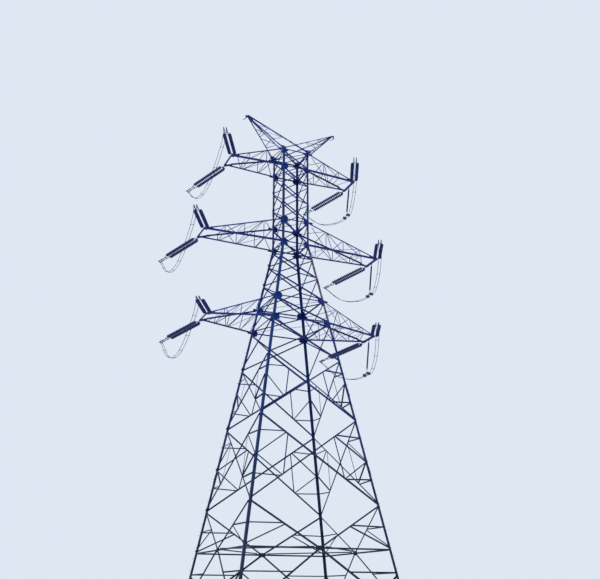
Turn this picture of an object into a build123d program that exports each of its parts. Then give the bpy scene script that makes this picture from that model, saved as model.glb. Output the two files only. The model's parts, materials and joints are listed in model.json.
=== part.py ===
"""Double-circuit steel lattice tower for a power line that turns a corner.

The tower stands on four base plates, with its axis on Z and the ground at Z = 0.
Its cross-arms run along X. The line turns towards -X, so every tension set leans
that way, and only the +X arms carry a string that holds their jumper out.
All lengths are in millimetres.
"""

import os
from math import atan, cos, pi, radians, sin, sqrt, tan

from build123d import *

os.makedirs("parts", exist_ok=True)

# Heights above the ground
BELT_Z = 4560.0
LEG_STRUT_Z = 3100.0
PANEL_1_Z = 7500.0
PANEL_2_Z = 13450.0
PANEL_3_Z = 18000.0
LOWER_ARM_Z = 21000.0
WAIST_Z = 27800.0
UPPER_ARM_Z = 34650.0
PEAK_Z = 39350.0
LOWER_ARM_DEPTH = 1860.0
MIDDLE_ARM_DEPTH = 2000.0
UPPER_ARM_DEPTH = 1600.0
TOWER_TOP_Z = UPPER_ARM_Z + UPPER_ARM_DEPTH

# Plan: half the width over the heels of the cage, and how far a leg runs out per mm of fall
CAGE_HALF = 1130.0
LEG_SLOPE = 0.1765
NECK_PANELS = 3
CAGE_PANELS = 3

# Cross-arms and peaks: distance of each tip from the axis
LOWER_ARM_REACH = 6910.0
MIDDLE_ARM_REACH = 7410.0
UPPER_ARM_REACH = 5450.0
TIP_HALF = 860.0
TIP_RISE = 90.0
PEAK_REACH = 4080.0

# Rolled angles, as (flange width, thickness)
BODY_LEG = (180.0, 16.0)
CAGE_LEG = (160.0, 14.0)
SPLAY_BRACE = (110.0, 8.0)
BODY_BRACE = (100.0, 8.0)
NECK_BRACE = (90.0, 7.0)
CAGE_BRACE = (75.0, 6.0)
BELT_STRUT = (110.0, 8.0)
ARM_STRUT = (90.0, 8.0)
TIE = (80.0, 6.0)
ARM_BOTTOM_CHORD = (125.0, 10.0)
ARM_TOP_CHORD = (100.0, 8.0)
PEAK_CHORD = (90.0, 7.0)
TIP_BEAM = (140.0, 12.0)
WEB_BAR = (56.0, 6.0)

# Seats and setbacks: zinc and tolerance between two bolted faces, and ends of bars
SEAT = 0.3
OUTER_SETBACK = 35.0
PLAIN_NODE_STEP = 70.0
STRUT_NODE_STEP = 150.0
BELT_CENTRE_SETBACK = 220.0
CENTRE_SETBACK = 70.0
TOP_CHORD_SETBACK = 105.0
FOOT_NODE_Z = 330.0
TIE_STAGGER = 115.0
BELT_SHELF_DROP = 9.0
FLOOR_SHELF_DROP = 10.9
WEB_STAGGER = 46.0
WEB_INSET = 22.0

# Plates
BASE_PLATE = 620.0
BASE_PLATE_THICK = 40.0
ANCHOR_SPACING = 460.0
ANCHOR_HOLE = 52.0
STIFFENER_HEIGHT = 200.0
STIFFENER_RUN = 180.0
STIFFENER_THICK = 16.0
FLOOR_PLATE = 260.0
CENTRE_PLATE_WIDTH = 400.0
CENTRE_PLATE_HEIGHT = 300.0
GUSSET_THICK = 12.0
GUSSET_HEIGHT = 150.0
GUSSET_IN = 150.0
GUSSET_OUT = 360.0
NODE_PLATE_HEIGHT = 560.0
NODE_PLATE_RUN = 290.0
NODE_PLATE_CUT = 110.0
PULL_PLATE_THICK = 20.0
PEAK_PLATE_THICK = 10.0
PEAK_TIP_RUN = 760.0

# Webs of a peak: shares of the lower and of the upper chord, and which way each leans
PEAK_WEBS = ((0.27, 0.42, -1), (0.50, 0.42, 1), (0.50, 0.66, -1), (0.70, 0.66, 1))

# Tension sets: how far each swings off the tower's Y axis and dips, in degrees
FRONT_SWING = 26.0
FRONT_DIP = 5.0
BACK_SWING = 25.2
BACK_DIP = 8.9

# Parts of a tension set along its axis
STRING_SPACING = 400.0
DISC_PITCH = 170.0
DISC_COUNT = 19
DISC_DIA = 280.0
CAP_DIA = 76.0
SHED_GROUP = 3.0
STRING_START = 300.0
YOKE_THICK = 16.0
YOKE_DEPTH = 340.0
YOKE_RIM = 60.0
LINK_LENGTH = 320.0
CLAMP_LENGTH = 520.0
CLAMP_WIDTH = 54.0
TERMINAL_SLOPE = 56.0
TERMINAL_LENGTH = 120.0

# Rods that hold out the jumpers of the +X arms
HANGER_LINK = 250.0
HANGER_ROD = 2290.0
HANGER_SHEDS = 9
HANGER_SHED_DIA = 145.0
HANGER_CORE_DIA = 60.0
HANGER_FOOT = 30.0
HANGER_BAR_DROP = 2880.0
HANGER_CLAMP_HALF = 330.0
HANGER_CLAMP_RUN = 80.0

# Jumpers: twin conductors, each from a terminal of the front set to one of the back set.
# The points are (from the tip, along Y, from the arm's level), chosen along the loop.
CONDUCTOR_DIA = 33.6
CONDUCTOR_SIDES = 3
TWIN_HALF = 100.0
TWIN_STRETCH = 0.0105
HELD_X = -290.0
HELD_Z = -2990.0
HELD_DRAW = 5.0
HELD_FALL = 13.0
FREE_LOOP = (
    (-1911, -4706, -863), (-1880, -4370, -1190), (-1875, -4020, -1490), (-1885, -3660, -1770),
    (-1895, -3290, -2040), (-1895, -2900, -2290), (-1895, -2500, -2510), (-1890, -2080, -2710),
    (-1885, -1650, -2870), (-1880, -1210, -3000), (-1875, -760, -3100), (-1870, -310, -3160),
    (-1870, 150, -3170), (-1870, 610, -3150), (-1870, 1070, -3090), (-1870, 1520, -2990),
    (-1870, 1960, -2860), (-1870, 2390, -2690), (-1870, 2800, -2490), (-1870, 3200, -2270),
    (-1865, 3590, -2020), (-1850, 3960, -1750), (-1840, 4320, -1460), (-1842, 4670, -1150),
)
HELD_LOOP = (
    (-1820, -4750, -850), (-1695, -4490, -1180), (-1585, -4230, -1510), (-1475, -3950, -1820),
    (-1360, -3650, -2120), (-1245, -3330, -2390), (-1120, -2980, -2610), (-995, -2600, -2800),
    (-870, -2210, -2950), (-728, -1785, -3043), (-580, -1370, -3077), (-420, -960, -3052),
    (HELD_X - HELD_DRAW, -530, HELD_Z - HELD_FALL), (HELD_X, -130, HELD_Z),
    (HELD_X, 130, HELD_Z), (HELD_X - HELD_DRAW, 530, HELD_Z - HELD_FALL),
    (-420, 960, -3050), (-578, 1380, -3032), (-738, 1815, -2953), (-875, 2250, -2845),
    (-1005, 2660, -2700), (-1120, 3060, -2520), (-1240, 3430, -2310), (-1360, 3790, -2060),
    (-1480, 4110, -1770), (-1600, 4410, -1460), (-1733, 4706, -1134),
)

FRONT, RIGHT, BACK, LEFT = range(4)
SIDE_NAMES = ("front", "right", "back", "left")
CORNERS = (("front_left", -1, -1), ("front_right", 1, -1), ("back_right", 1, 1), ("back_left", -1, 1))
UP = Vector(0, 0, 1)


# Shape of the tower

def half(z):
    """Half the width over the leg heels at height z."""
    return CAGE_HALF + LEG_SLOPE * max(0.0, WAIST_Z - z)


def heel(sx, sy, z):
    """Outer corner of the leg on side (sx, sy) at height z."""
    return Vector(sx * half(z), sy * half(z), z)


# Steel

def prism(outline, reach):
    """Solid of a closed outline carried along the vector reach."""
    return Solid.extrude(Face(Wire.make_polygon(outline, close=True)), reach)


def angle_bar(start, end, out, section):
    """Rolled angle with its flat back on the line start to end and its free flange towards out."""
    width, thick = section
    along = (end - start).normalized()
    across = out.cross(along).normalized()
    rise = along.cross(across)
    edge = width / 2
    outline = [(-edge, 0), (edge, 0), (edge, thick), (thick - edge, thick)]
    outline += [(thick - edge, width), (-edge, width)]
    return prism([start + across * a + rise * b for a, b in outline], end - start)


def flat_bar(start, end, out, section):
    """Flat bar with its back on the line start to end and its thickness towards out."""
    width, thick = section
    along = (end - start).normalized()
    across = out.cross(along).normalized() * (width / 2)
    rise = along.cross(across).normalized() * thick
    return prism([start - across, start + across, start + across + rise, start - across + rise], end - start)


def corner_angle(start, end, first, second, section):
    """Rolled angle with its heel on the line start to end and its flanges along two given directions."""
    width, thick = section
    along = (end - start).normalized()
    u = (first - along * first.dot(along)).normalized()
    v = (second - along * second.dot(along)).normalized()
    wall = thick / u.cross(v).length
    outline = [(0, 0), (width, 0), (width, wall), (wall, wall), (wall, width), (0, width)]
    return prism([start + u * a + v * b for a, b in outline], end - start)


def heel_prism(sx, sy, z0, z1, outline):
    """Plan outline, in inward offsets from the heel, carried along the leg from z0 to z1."""
    low = heel(sx, sy, z0)
    return prism([low + Vector(-sx * a, -sy * b, 0) for a, b in outline], heel(sx, sy, z1) - low)


def plate(points, out, thick, lift=SEAT):
    """Flat plate on the polygon points, lifted off it by lift and thick towards out."""
    return prism([p + out * lift for p in points], out * thick)


def write(name, solids):
    """Writes one node."""
    export_step(Compound(children=list(solids)), f"parts/{name}.step")


# Faces of the tower

class Wall:
    """One face of the tapering body or of the straight cage, seen from outside."""

    def __init__(self, side, tapers):
        self.side = side
        self.leg = BODY_LEG if tapers else CAGE_LEG
        rise = LEG_SLOPE if tapers else 0.0
        self.normal = Vector(0, -1, rise).normalized().rotate(Axis.Z, 90.0 * side)
        self.depth = self.leg[1] * cos(atan(rise))

    def point(self, s, z, out=0.0):
        """Point s to the right of the middle at height z, moved out of the wall by out."""
        return Vector(s, -half(z), z).rotate(Axis.Z, 90.0 * self.side) + self.normal * out

    def outer_end(self, way, z, out=SEAT):
        """End of a bar on the outside of the leg flange on side way, -1 or +1."""
        return self.point(way * (half(z) - OUTER_SETBACK), z, out)

    def inner_end(self, way, z, reach):
        """End of a bar on the inside of the leg flange, reach clear of the other flange."""
        return self.point(way * (half(z) - self.leg[1] - reach), z, -self.depth - SEAT)

    def rising(self, z0, z1, section):
        """Diagonal outside the leg flanges, from the left leg at z0 up to the right leg at z1."""
        return angle_bar(self.outer_end(-1, z0), self.outer_end(1, z1), self.normal, section)

    def falling(self, z0, z1, section):
        """Diagonal inside the leg flanges, from the right leg at z0 up to the left leg at z1."""
        reach = 0.6 * section[0]
        start, end = self.inner_end(1, z0, reach), self.inner_end(-1, z1, reach)
        return angle_bar(start, end, self.normal * -1, section)

    def crossed(self, z0, z1, section, low_step, high_step):
        """Panel of two crossed diagonals, with their ends kept off the panel points."""
        ends = (z0 + low_step, z1 - high_step, section)
        return [self.rising(*ends), self.falling(*ends)]

    def strut(self, z, section):
        """Level strut inside the leg flanges, from leg to leg."""
        reach = section[0] + 8.0
        start, end = self.inner_end(-1, z, reach), self.inner_end(1, z, reach)
        return angle_bar(start, end, self.normal * -1, section)

    def node_plates(self, low, high):
        """Plate against the inner edge of each leg flange, in its layer, from low up to high."""
        gap = self.leg[0] + 2 * SEAT
        plates = []
        for way in (-1, 1):
            edge = [(half(z) - gap, z) for z in (low, high)]
            run = min(s for s, _ in edge) - NODE_PLATE_RUN
            far = [(run, high - NODE_PLATE_CUT), (run, low + NODE_PLATE_CUT)]
            cut = [(edge[1][0] - NODE_PLATE_CUT, high), *far, (edge[0][0] - NODE_PLATE_CUT, low)]
            outline = [self.point(way * s, z) for s, z in edge + cut]
            plates.append(plate(outline, self.normal * -1, self.depth, lift=0))
        return plates

    def tie(self, way, leg_z, s, z, to_outer):
        """Light tie from a leg to a diagonal that runs outside or inside the leg flanges."""
        clear = 1.1 * TIE[0]
        inset = self.leg[1] + clear if to_outer else OUTER_SETBACK
        run = half(leg_z) - inset - way * s
        length = sqrt(run ** 2 + (z - leg_z) ** 2)
        # share of the tie's length that lies over the leg flange, its slanting end included
        over = ((self.leg[0] - inset) * length + TIE[0] / 2 * abs(z - leg_z)) / run / length
        if to_outer:
            seat = -(self.depth + SEAT) / (1 - over)
            start = self.point(way * (half(leg_z) - inset), leg_z, seat)
            return angle_bar(start, self.point(s, z), self.normal * -1, TIE)
        seat = (SEAT + over * self.depth) / (1 - over)
        start = self.point(way * (half(leg_z) - inset), leg_z, seat)
        return angle_bar(start, self.point(s, z, -self.depth), self.normal, TIE)


class Diagonal:
    """Working line of a diagonal on one wall, from (s0, z0) up to (s1, z1)."""

    def __init__(self, s0, z0, s1, z1):
        self.s0, self.z0, self.s1, self.z1 = s0, z0, s1, z1

    def s_at(self, z):
        """Place along the wall at height z."""
        return self.s0 + (self.s1 - self.s0) * (z - self.z0) / (self.z1 - self.z0)

    def past(self, z, offset):
        """Point offset mm further along the line than height z."""
        ds, dz = self.s1 - self.s0, self.z1 - self.z0
        step = offset / sqrt(ds * ds + dz * dz)
        return self.s_at(z) + ds * step, z + dz * step


def side_ties(wall, way, z0, z1, leg_shares):
    """Ties of the triangle between one leg and the two diagonals of a large crossed panel."""
    cross_share = half(z0) / (half(z0) + half(z1))
    lower = Diagonal(way * half(z0), z0, -way * half(z1), z1)
    upper = Diagonal(-way * half(z0), z0, way * half(z1), z1)
    rise = z1 - z0
    low_z = z0 + rise * cross_share / 2
    high_z = z0 + rise * (1 + cross_share) / 2
    lower_is_outer = way < 0
    ties = [
        wall.tie(way, low_z, *lower.past(low_z, -TIE_STAGGER), lower_is_outer),
        wall.tie(way, high_z, *upper.past(high_z, TIE_STAGGER), not lower_is_outer),
    ]
    for share, up in leg_shares:
        line, z = (upper, high_z) if up else (lower, low_z)
        outer = lower_is_outer != up
        ties.append(wall.tie(way, z0 + rise * share, line.s_at(z), z, outer))
    s_low, z_low = lower.past(low_z, TIE_STAGGER)
    s_high, z_high = upper.past(high_z, -TIE_STAGGER)
    behind, before = 0.0, TIE[1] - wall.depth
    low_out, high_out = (behind, before) if lower_is_outer else (before, behind)
    start, end = wall.point(s_low, z_low, low_out), wall.point(s_high, z_high, high_out)
    ties.append(flat_bar(start, end, wall.normal * -1, TIE))
    return ties


def legs():
    """Four legs, each a long body length and a cage length."""
    for name, sx, sy in CORNERS:
        solids = []
        for z0, z1, (width, thick) in (
            (BASE_PLATE_THICK, WAIST_Z - SEAT, BODY_LEG),
            (WAIST_Z, TOWER_TOP_Z, CAGE_LEG),
        ):
            outline = [(0, 0), (width, 0), (width, thick), (thick, thick), (thick, width), (0, width)]
            solids.append(heel_prism(sx, sy, z0, z1, outline))
        write(f"leg_{name}", solids)


def base_plates():
    """Four base plates with anchor holes and stiffeners under the legs."""
    solids = []
    for _, sx, sy in CORNERS:
        foot = heel(sx, sy, BASE_PLATE_THICK)
        middle = Vector(foot.X - sx * BODY_LEG[0] / 2, foot.Y - sy * BODY_LEG[0] / 2, BASE_PLATE_THICK / 2)
        solid = Pos(middle) * Box(BASE_PLATE, BASE_PLATE, BASE_PLATE_THICK)
        for hole in GridLocations(ANCHOR_SPACING, ANCHOR_SPACING, 2, 2):
            solid -= Pos(middle) * hole * Cylinder(ANCHOR_HOLE / 2, 2 * BASE_PLATE_THICK)
        solids += solid.solids()
        low, high = BASE_PLATE_THICK + SEAT, BASE_PLATE_THICK + STIFFENER_HEIGHT
        profile = ((SEAT, low), (STIFFENER_RUN, low), (STIFFENER_RUN, low + 40.0), (SEAT, high))
        inset = half(BASE_PLATE_THICK) - BODY_LEG[0] / 2 - STIFFENER_THICK / 2
        edge = [(half(z) + out if out == SEAT else half(low) + out, z) for out, z in profile]
        sideways, onwards = Vector(sx * STIFFENER_THICK, 0, 0), Vector(0, sy * STIFFENER_THICK, 0)
        solids.append(prism([Vector(sx * inset, sy * y, z) for y, z in edge], sideways))
        solids.append(prism([Vector(sx * x, sy * inset, z) for x, z in edge], onwards))
    write("base_plates", solids)


def splay_bracing():
    """Bracing of each corner below the belt: a brace to each face's middle, and its light bars."""
    for name, sx, sy in CORNERS:
        corner = CORNERS.index((name, sx, sy))
        solids = []
        # the face on which this corner is the left end, and the one on which it is the right end
        for side, way in ((corner, -1), ((corner - 1) % 4, 1)):
            wall = Wall(side, True)
            outer = way < 0
            width = SPLAY_BRACE[0]
            foot_z = FOOT_NODE_Z
            line = Diagonal(way * half(foot_z), foot_z, 0.0, BELT_Z)
            top_s, top_z = line.past(BELT_Z, -CENTRE_SETBACK)
            if outer:
                start = wall.outer_end(way, foot_z)
                solids.append(angle_bar(start, wall.point(top_s, top_z, SEAT), wall.normal, SPLAY_BRACE))
            else:
                start = wall.inner_end(way, foot_z, 0.6 * width)
                end = wall.point(top_s, top_z, -wall.depth - SEAT)
                solids.append(angle_bar(start, end, wall.normal * -1, SPLAY_BRACE))
            mid_z = (foot_z + LEG_STRUT_Z) / 2
            solids.append(wall.tie(way, LEG_STRUT_Z, *line.past(LEG_STRUT_Z, 0), outer))
            solids.append(wall.tie(way, mid_z, *line.past(mid_z, 0), outer))
            solids.append(wall.tie(way, LEG_STRUT_Z - TIE_STAGGER, *line.past(mid_z, TIE_STAGGER), outer))
        write(f"splay_bracing_{name}", solids)


def belt():
    """Level ring that ties the legs, with the plates at its middles and the diamond across it."""
    solids = []
    for side in range(4):
        wall = Wall(side, True)
        inside = wall.normal * -1
        for way in (-1, 1):
            start = wall.inner_end(way, BELT_Z, BELT_STRUT[0] + 8.0)
            end = wall.point(way * BELT_CENTRE_SETBACK, BELT_Z, -wall.depth - SEAT)
            ends = (start, end) if way < 0 else (end, start)
            solids.append(angle_bar(*ends, inside, BELT_STRUT))
        w, h = CENTRE_PLATE_WIDTH, CENTRE_PLATE_HEIGHT / 2
        outline = [(-w, 0), (-w / 2, -h), (w / 2, -h), (w, 0), (w / 2, h), (-w / 2, h)]
        solids.append(plate([wall.point(s, BELT_Z + z) for s, z in outline], inside, wall.depth, lift=0))
        following = Wall((side + 1) % 4, True)
        shelf = BELT_Z + BELT_STRUT[0] / 2 - BELT_SHELF_DROP
        run = BELT_CENTRE_SETBACK + 150.0
        start = wall.point(run, shelf) + Vector(0, 75.0, 0).rotate(Axis.Z, 90.0 * side)
        end = following.point(-run, shelf) + Vector(0, 75.0, 0).rotate(Axis.Z, 90.0 * (side + 1))
        solids.append(angle_bar(start, end, UP, TIE))
    write("belt_ring", solids)


def body_bracing():
    """Each face from the belt up to the lower arms."""
    for side in range(4):
        wall = Wall(side, True)
        solids = []
        for way in (-1, 1):
            outer = way > 0
            line = Diagonal(0.0, BELT_Z, way * half(PANEL_1_Z), PANEL_1_Z)
            s, z = line.past(BELT_Z, CENTRE_SETBACK)
            if outer:
                end = wall.outer_end(way, PANEL_1_Z - PLAIN_NODE_STEP)
                solids.append(angle_bar(wall.point(s, z, SEAT), end, wall.normal, BODY_BRACE))
            else:
                end = wall.inner_end(way, PANEL_1_Z - PLAIN_NODE_STEP, 0.6 * BODY_BRACE[0])
                start = wall.point(s, z, -wall.depth - SEAT)
                solids.append(angle_bar(start, end, wall.normal * -1, BODY_BRACE))
            mid_z = (BELT_Z + PANEL_1_Z) / 2
            solids.append(wall.tie(way, mid_z, *line.past(mid_z, TIE_STAGGER / 2), outer))
            solids.append(wall.tie(way, BELT_Z + STRUT_NODE_STEP, *line.past(mid_z, -TIE_STAGGER / 2), outer))
            solids += side_ties(wall, way, PANEL_1_Z, PANEL_2_Z, ((0.5, False), (0.5, True)))
            solids += side_ties(wall, way, PANEL_2_Z, PANEL_3_Z, ((0.62, False),))
        solids += wall.crossed(PANEL_1_Z, PANEL_2_Z, BODY_BRACE, PLAIN_NODE_STEP, PLAIN_NODE_STEP)
        solids += wall.crossed(PANEL_2_Z, PANEL_3_Z, BODY_BRACE, PLAIN_NODE_STEP, PLAIN_NODE_STEP)
        solids += wall.crossed(PANEL_3_Z, LOWER_ARM_Z, BODY_BRACE, PLAIN_NODE_STEP, STRUT_NODE_STEP)
        write(f"body_bracing_{SIDE_NAMES[side]}", solids)


def neck_bracing():
    """Each face from the lower arms up to the waist."""
    lower_top = LOWER_ARM_Z + LOWER_ARM_DEPTH
    # each panel is as much lower than the one below as the neck is narrower there
    narrowing = (half(WAIST_Z) / half(lower_top)) ** (1 / NECK_PANELS)
    shares = [narrowing ** i for i in range(NECK_PANELS)]
    heights = [lower_top]
    for share in shares:
        heights.append(heights[-1] + (WAIST_Z - lower_top) * share / sum(shares))
    steps = [STRUT_NODE_STEP] + [PLAIN_NODE_STEP] * (NECK_PANELS - 1) + [STRUT_NODE_STEP]
    for side in range(4):
        wall = Wall(side, True)
        solids = [wall.strut(LOWER_ARM_Z, ARM_STRUT), wall.strut(lower_top, ARM_STRUT)]
        for z in (LOWER_ARM_Z, lower_top):
            solids += wall.node_plates(z - NODE_PLATE_HEIGHT / 2, z + NODE_PLATE_HEIGHT / 2)
        solids += wall.node_plates(WAIST_Z - NODE_PLATE_HEIGHT / 2, WAIST_Z - 2 * SEAT)
        solids += wall.crossed(LOWER_ARM_Z, lower_top, NECK_BRACE, STRUT_NODE_STEP, STRUT_NODE_STEP)
        for i in range(NECK_PANELS):
            solids += wall.crossed(heights[i], heights[i + 1], NECK_BRACE, steps[i], steps[i + 1])
        write(f"neck_bracing_{SIDE_NAMES[side]}", solids)


def cage_bracing():
    """Each face from the waist up to the top."""
    middle_top = WAIST_Z + MIDDLE_ARM_DEPTH
    step = (UPPER_ARM_Z - middle_top) / CAGE_PANELS
    for side in range(4):
        wall = Wall(side, False)
        solids = []
        for z in (WAIST_Z + ARM_STRUT[0] / 2 + SEAT, middle_top, UPPER_ARM_Z, TOWER_TOP_Z - ARM_STRUT[0] / 2):
            solids.append(wall.strut(z, ARM_STRUT))
        for z in (middle_top, UPPER_ARM_Z):
            solids += wall.node_plates(z - NODE_PLATE_HEIGHT / 2, z + NODE_PLATE_HEIGHT / 2)
        solids += wall.node_plates(WAIST_Z, WAIST_Z + NODE_PLATE_HEIGHT / 2)
        solids += wall.node_plates(TOWER_TOP_Z - NODE_PLATE_HEIGHT / 2, TOWER_TOP_Z)
        solids += wall.crossed(WAIST_Z, middle_top, CAGE_BRACE, STRUT_NODE_STEP, STRUT_NODE_STEP)
        for i in range(CAGE_PANELS):
            low = STRUT_NODE_STEP if i == 0 else PLAIN_NODE_STEP
            high = STRUT_NODE_STEP if i == CAGE_PANELS - 1 else PLAIN_NODE_STEP
            solids += wall.crossed(middle_top + i * step, middle_top + (i + 1) * step, CAGE_BRACE, low, high)
        last = GUSSET_HEIGHT + STRUT_NODE_STEP / 2
        solids += wall.crossed(UPPER_ARM_Z, TOWER_TOP_Z, CAGE_BRACE, STRUT_NODE_STEP, last)
        write(f"cage_bracing_{SIDE_NAMES[side]}", solids)


def floor_frames():
    """Level crossed bars on the struts of each arm level, one whole and one in two lengths."""
    solids = []
    levels = (
        (LOWER_ARM_Z, True),
        (LOWER_ARM_Z + LOWER_ARM_DEPTH, True),
        (WAIST_Z + ARM_STRUT[0] / 2 + SEAT, False),
        (WAIST_Z + MIDDLE_ARM_DEPTH, False),
        (UPPER_ARM_Z, False),
        (TOWER_TOP_Z - ARM_STRUT[0] / 2, False),
    )
    width, thick = TIE
    for z, tapers in levels:
        shelf = z + ARM_STRUT[0] / 2 + SEAT - (FLOOR_SHELF_DROP + 0.7 if tapers else 0.0)
        inset = half(shelf) - 90.0
        whole = Vector(inset, inset, shelf), Vector(-inset, -inset, shelf)
        solids.append(flat_bar(*whole, UP, TIE))
        for sx in (-1, 1):
            outer = Vector(sx * inset, -sx * inset, shelf)
            inner = Vector(sx * width / 2, -sx * width / 2, shelf)
            solids.append(flat_bar(outer, inner, UP, TIE))
        across = FLOOR_PLATE / 2
        diamond = ((-across, 0), (0, -across), (across, 0), (0, across))
        corners = [Vector(x, y, shelf + thick) for x, y in diamond]
        solids.append(plate(corners, UP, thick))
    write("floor_frames", solids)


# Cross-arms

class Arm:
    """One four-chord cross-arm, with its tip beam and plates, on side sx of the tower."""

    def __init__(self, name, sx, z, depth, reach, panels):
        self.name, self.sx, self.z, self.depth, self.reach, self.panels = name, sx, z, depth, reach, panels
        self.top_z = z + depth
        self.tip_x = sx * reach

    def root(self, sy, top):
        """Heel point of a chord at the leg."""
        return heel(self.sx, sy, self.top_z if top else self.z)

    def tip(self, sy, top):
        """End point of a chord's working line at the tip beam, kept in the plane of the side truss."""
        low = Vector(self.tip_x, sy * TIP_HALF, self.z)
        if not top:
            return low
        out = (low - self.root(sy, False)).cross(self.root(sy, True) - self.root(sy, False))
        return low + Vector(0, -out.Z / out.Y * TIP_RISE, TIP_RISE)

    def on_chord(self, sy, top, share):
        """Point on a chord's heel line, share of the way out from the leg."""
        root = self.root(sy, top)
        return root + (self.tip(sy, top) - root) * share

    def side_out(self, sy):
        """Unit vector out of the side truss, away from the arm."""
        along = self.tip(sy, False) - self.root(sy, False)
        normal = along.cross(self.root(sy, True) - self.root(sy, False)).normalized()
        return normal if normal.Y * sy > 0 else normal * -1

    def top_out(self):
        """Unit vector up out of the plane of the two top chords."""
        along = self.tip(1, True) - self.root(1, True)
        normal = along.cross(Vector(0, 1, 0)).normalized()
        return normal if normal.Z > 0 else normal * -1

    def chords(self):
        """Two bottom chords from the leg to the tip beam, and two top chords that stop short of it."""
        solids = []
        for sy in (-1, 1):
            across = Vector(0, -sy, 0)
            out = self.side_out(sy)
            low = self.tip(sy, False) - self.root(sy, False)
            high = self.tip(sy, True) - self.root(sy, True)
            in_side = out.cross(low).normalized()
            in_side = in_side if in_side.Z > 0 else in_side * -1
            start = self.root(sy, False) + low.normalized() * OUTER_SETBACK
            end = self.tip(sy, False) - low.normalized() * (3 * SEAT)
            solids.append(corner_angle(start, end, in_side, across, ARM_BOTTOM_CHORD))
            down = out.cross(high).normalized()
            down = down if down.Z < 0 else down * -1
            start = self.root(sy, True) + high.normalized() * TOP_CHORD_SETBACK
            meeting = (ARM_BOTTOM_CHORD[0] + ARM_TOP_CHORD[0] + 30.0 - TIP_RISE) / (self.depth - TIP_RISE)
            end = self.on_chord(sy, True, 1.0 - meeting)
            solids.append(corner_angle(start, end, down, across, ARM_TOP_CHORD))
        return solids

    def side_webs(self):
        """Posts and diagonals on the outside of both side trusses."""
        solids = []
        for sy in (-1, 1):
            out = self.side_out(sy)
            seat = out * SEAT
            along = (self.tip(sy, False) - self.root(sy, False)).normalized()
            for i in range(1, self.panels):
                share = i / self.panels
                low = self.on_chord(sy, False, share) + seat
                high = self.on_chord(sy, True, share) + seat
                post = (high - low).normalized()
                solids.append(flat_bar(low + post * WEB_INSET, high - post * WEB_INSET, out, WEB_BAR))
                back = self.on_chord(sy, True, (i - 1) / self.panels) + seat
                clear = GUSSET_OUT + 60.0 if i == 1 else 2 * WEB_STAGGER
                start = low - along * 2 * WEB_STAGGER + post * 2 * WEB_INSET
                reach = back + (start - back).normalized() * clear
                solids.append(flat_bar(start, reach, out, WEB_BAR))
        return solids

    def level_webs(self, top):
        """Struts and zigzag bars on the outside of the top or bottom plane."""
        out = self.top_out() if top else UP * -1
        seat = out * SEAT

        def node(sy, share, inset, shift=0.0):
            """Point on a chord's flange, inset from its heel and shifted outwards along it."""
            along = (self.tip(sy, top) - self.root(sy, top)).normalized()
            return self.on_chord(sy, top, share) + along * shift + Vector(0, -sy * inset, 0) + seat

        solids = []
        for i in range(1, self.panels):
            ends = node(-1, i / self.panels, WEB_INSET), node(1, i / self.panels, WEB_INSET)
            solids.append(flat_bar(*ends, out, WEB_BAR))
        for i in range(self.panels - 1 if top else self.panels):
            sy = -1 if i % 2 else 1
            near = node(sy, i / self.panels, 2 * WEB_INSET, (4 if i == 0 else 2) * WEB_STAGGER)
            last = i == self.panels - 1
            far = node(-sy, (i + 1) / self.panels, 2 * WEB_INSET, -(10 if last else 2) * WEB_STAGGER)
            solids.append(flat_bar(near, far, out, WEB_BAR))
        return solids

    def gussets(self):
        """Bent plates that join the chords to the outside of the leg flanges."""
        solids = []
        for sy in (-1, 1):
            for top in (False, True):
                z = self.top_z if top else self.z
                root, tip = self.root(sy, top), self.tip(sy, top)
                turn = atan((abs(root.Y) - TIP_HALF) / (self.reach - abs(root.X)))
                outline = []
                for out in (SEAT, SEAT + GUSSET_THICK):
                    bend = (-out * tan(turn / 2), -out)
                    far = (bend[0] - GUSSET_OUT * cos(turn), bend[1] + GUSSET_OUT * sin(turn))
                    outline.append([(GUSSET_IN, -out), bend, far])
                low = z - GUSSET_HEIGHT / 2
                high = z + GUSSET_HEIGHT / 2
                if top and self.top_z > TOWER_TOP_Z - 1:
                    low, high = z - GUSSET_HEIGHT, z
                solids.append(heel_prism(self.sx, sy, low, high, outline[0] + outline[1][::-1]))
        return solids

    def tip_steel(self):
        """Tip beam across the chord ends, the plates under it and the plates that close the side trusses."""
        width, thick = TIP_BEAM
        run = TIP_HALF + 60.0
        solids = []
        heel_line = [Vector(self.tip_x, sy * run, self.z) for sy in (-1, 1)]
        solids.append(corner_angle(*heel_line, UP, Vector(self.sx, 0, 0), TIP_BEAM))
        for sy in (-1, 1):
            y0, y1 = sy * (TIP_HALF - 200.0), sy * (TIP_HALF + 150.0)
            x0, x1 = self.tip_x - self.sx * 200.0, self.tip_x + self.sx * (width - 10.0)
            middle = [(self.tip_x + self.sx * 60.0, y1), (self.tip_x - self.sx * 60.0, y1)]
            outline = [(x0, y0), (x1, y0), (x1, sy * run), *middle, (x0, sy * (TIP_HALF + 30.0))]
            solids.append(plate([Vector(x, y, self.z) for x, y in outline], UP * -1, PULL_PLATE_THICK))
            out = self.side_out(sy)
            shares = 1 - 760.0 / self.reach, 1 - 6.0 / self.reach
            low = [self.on_chord(sy, False, share) for share in shares]
            high = [self.on_chord(sy, True, share) for share in shares]
            solids.append(plate(low + high[::-1], out, GUSSET_THICK))
        return solids

    def build(self):
        """Writes the arm's node."""
        solids = self.chords() + self.side_webs() + self.level_webs(False) + self.level_webs(True)
        write(self.name, solids + self.gussets() + self.tip_steel())


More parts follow.
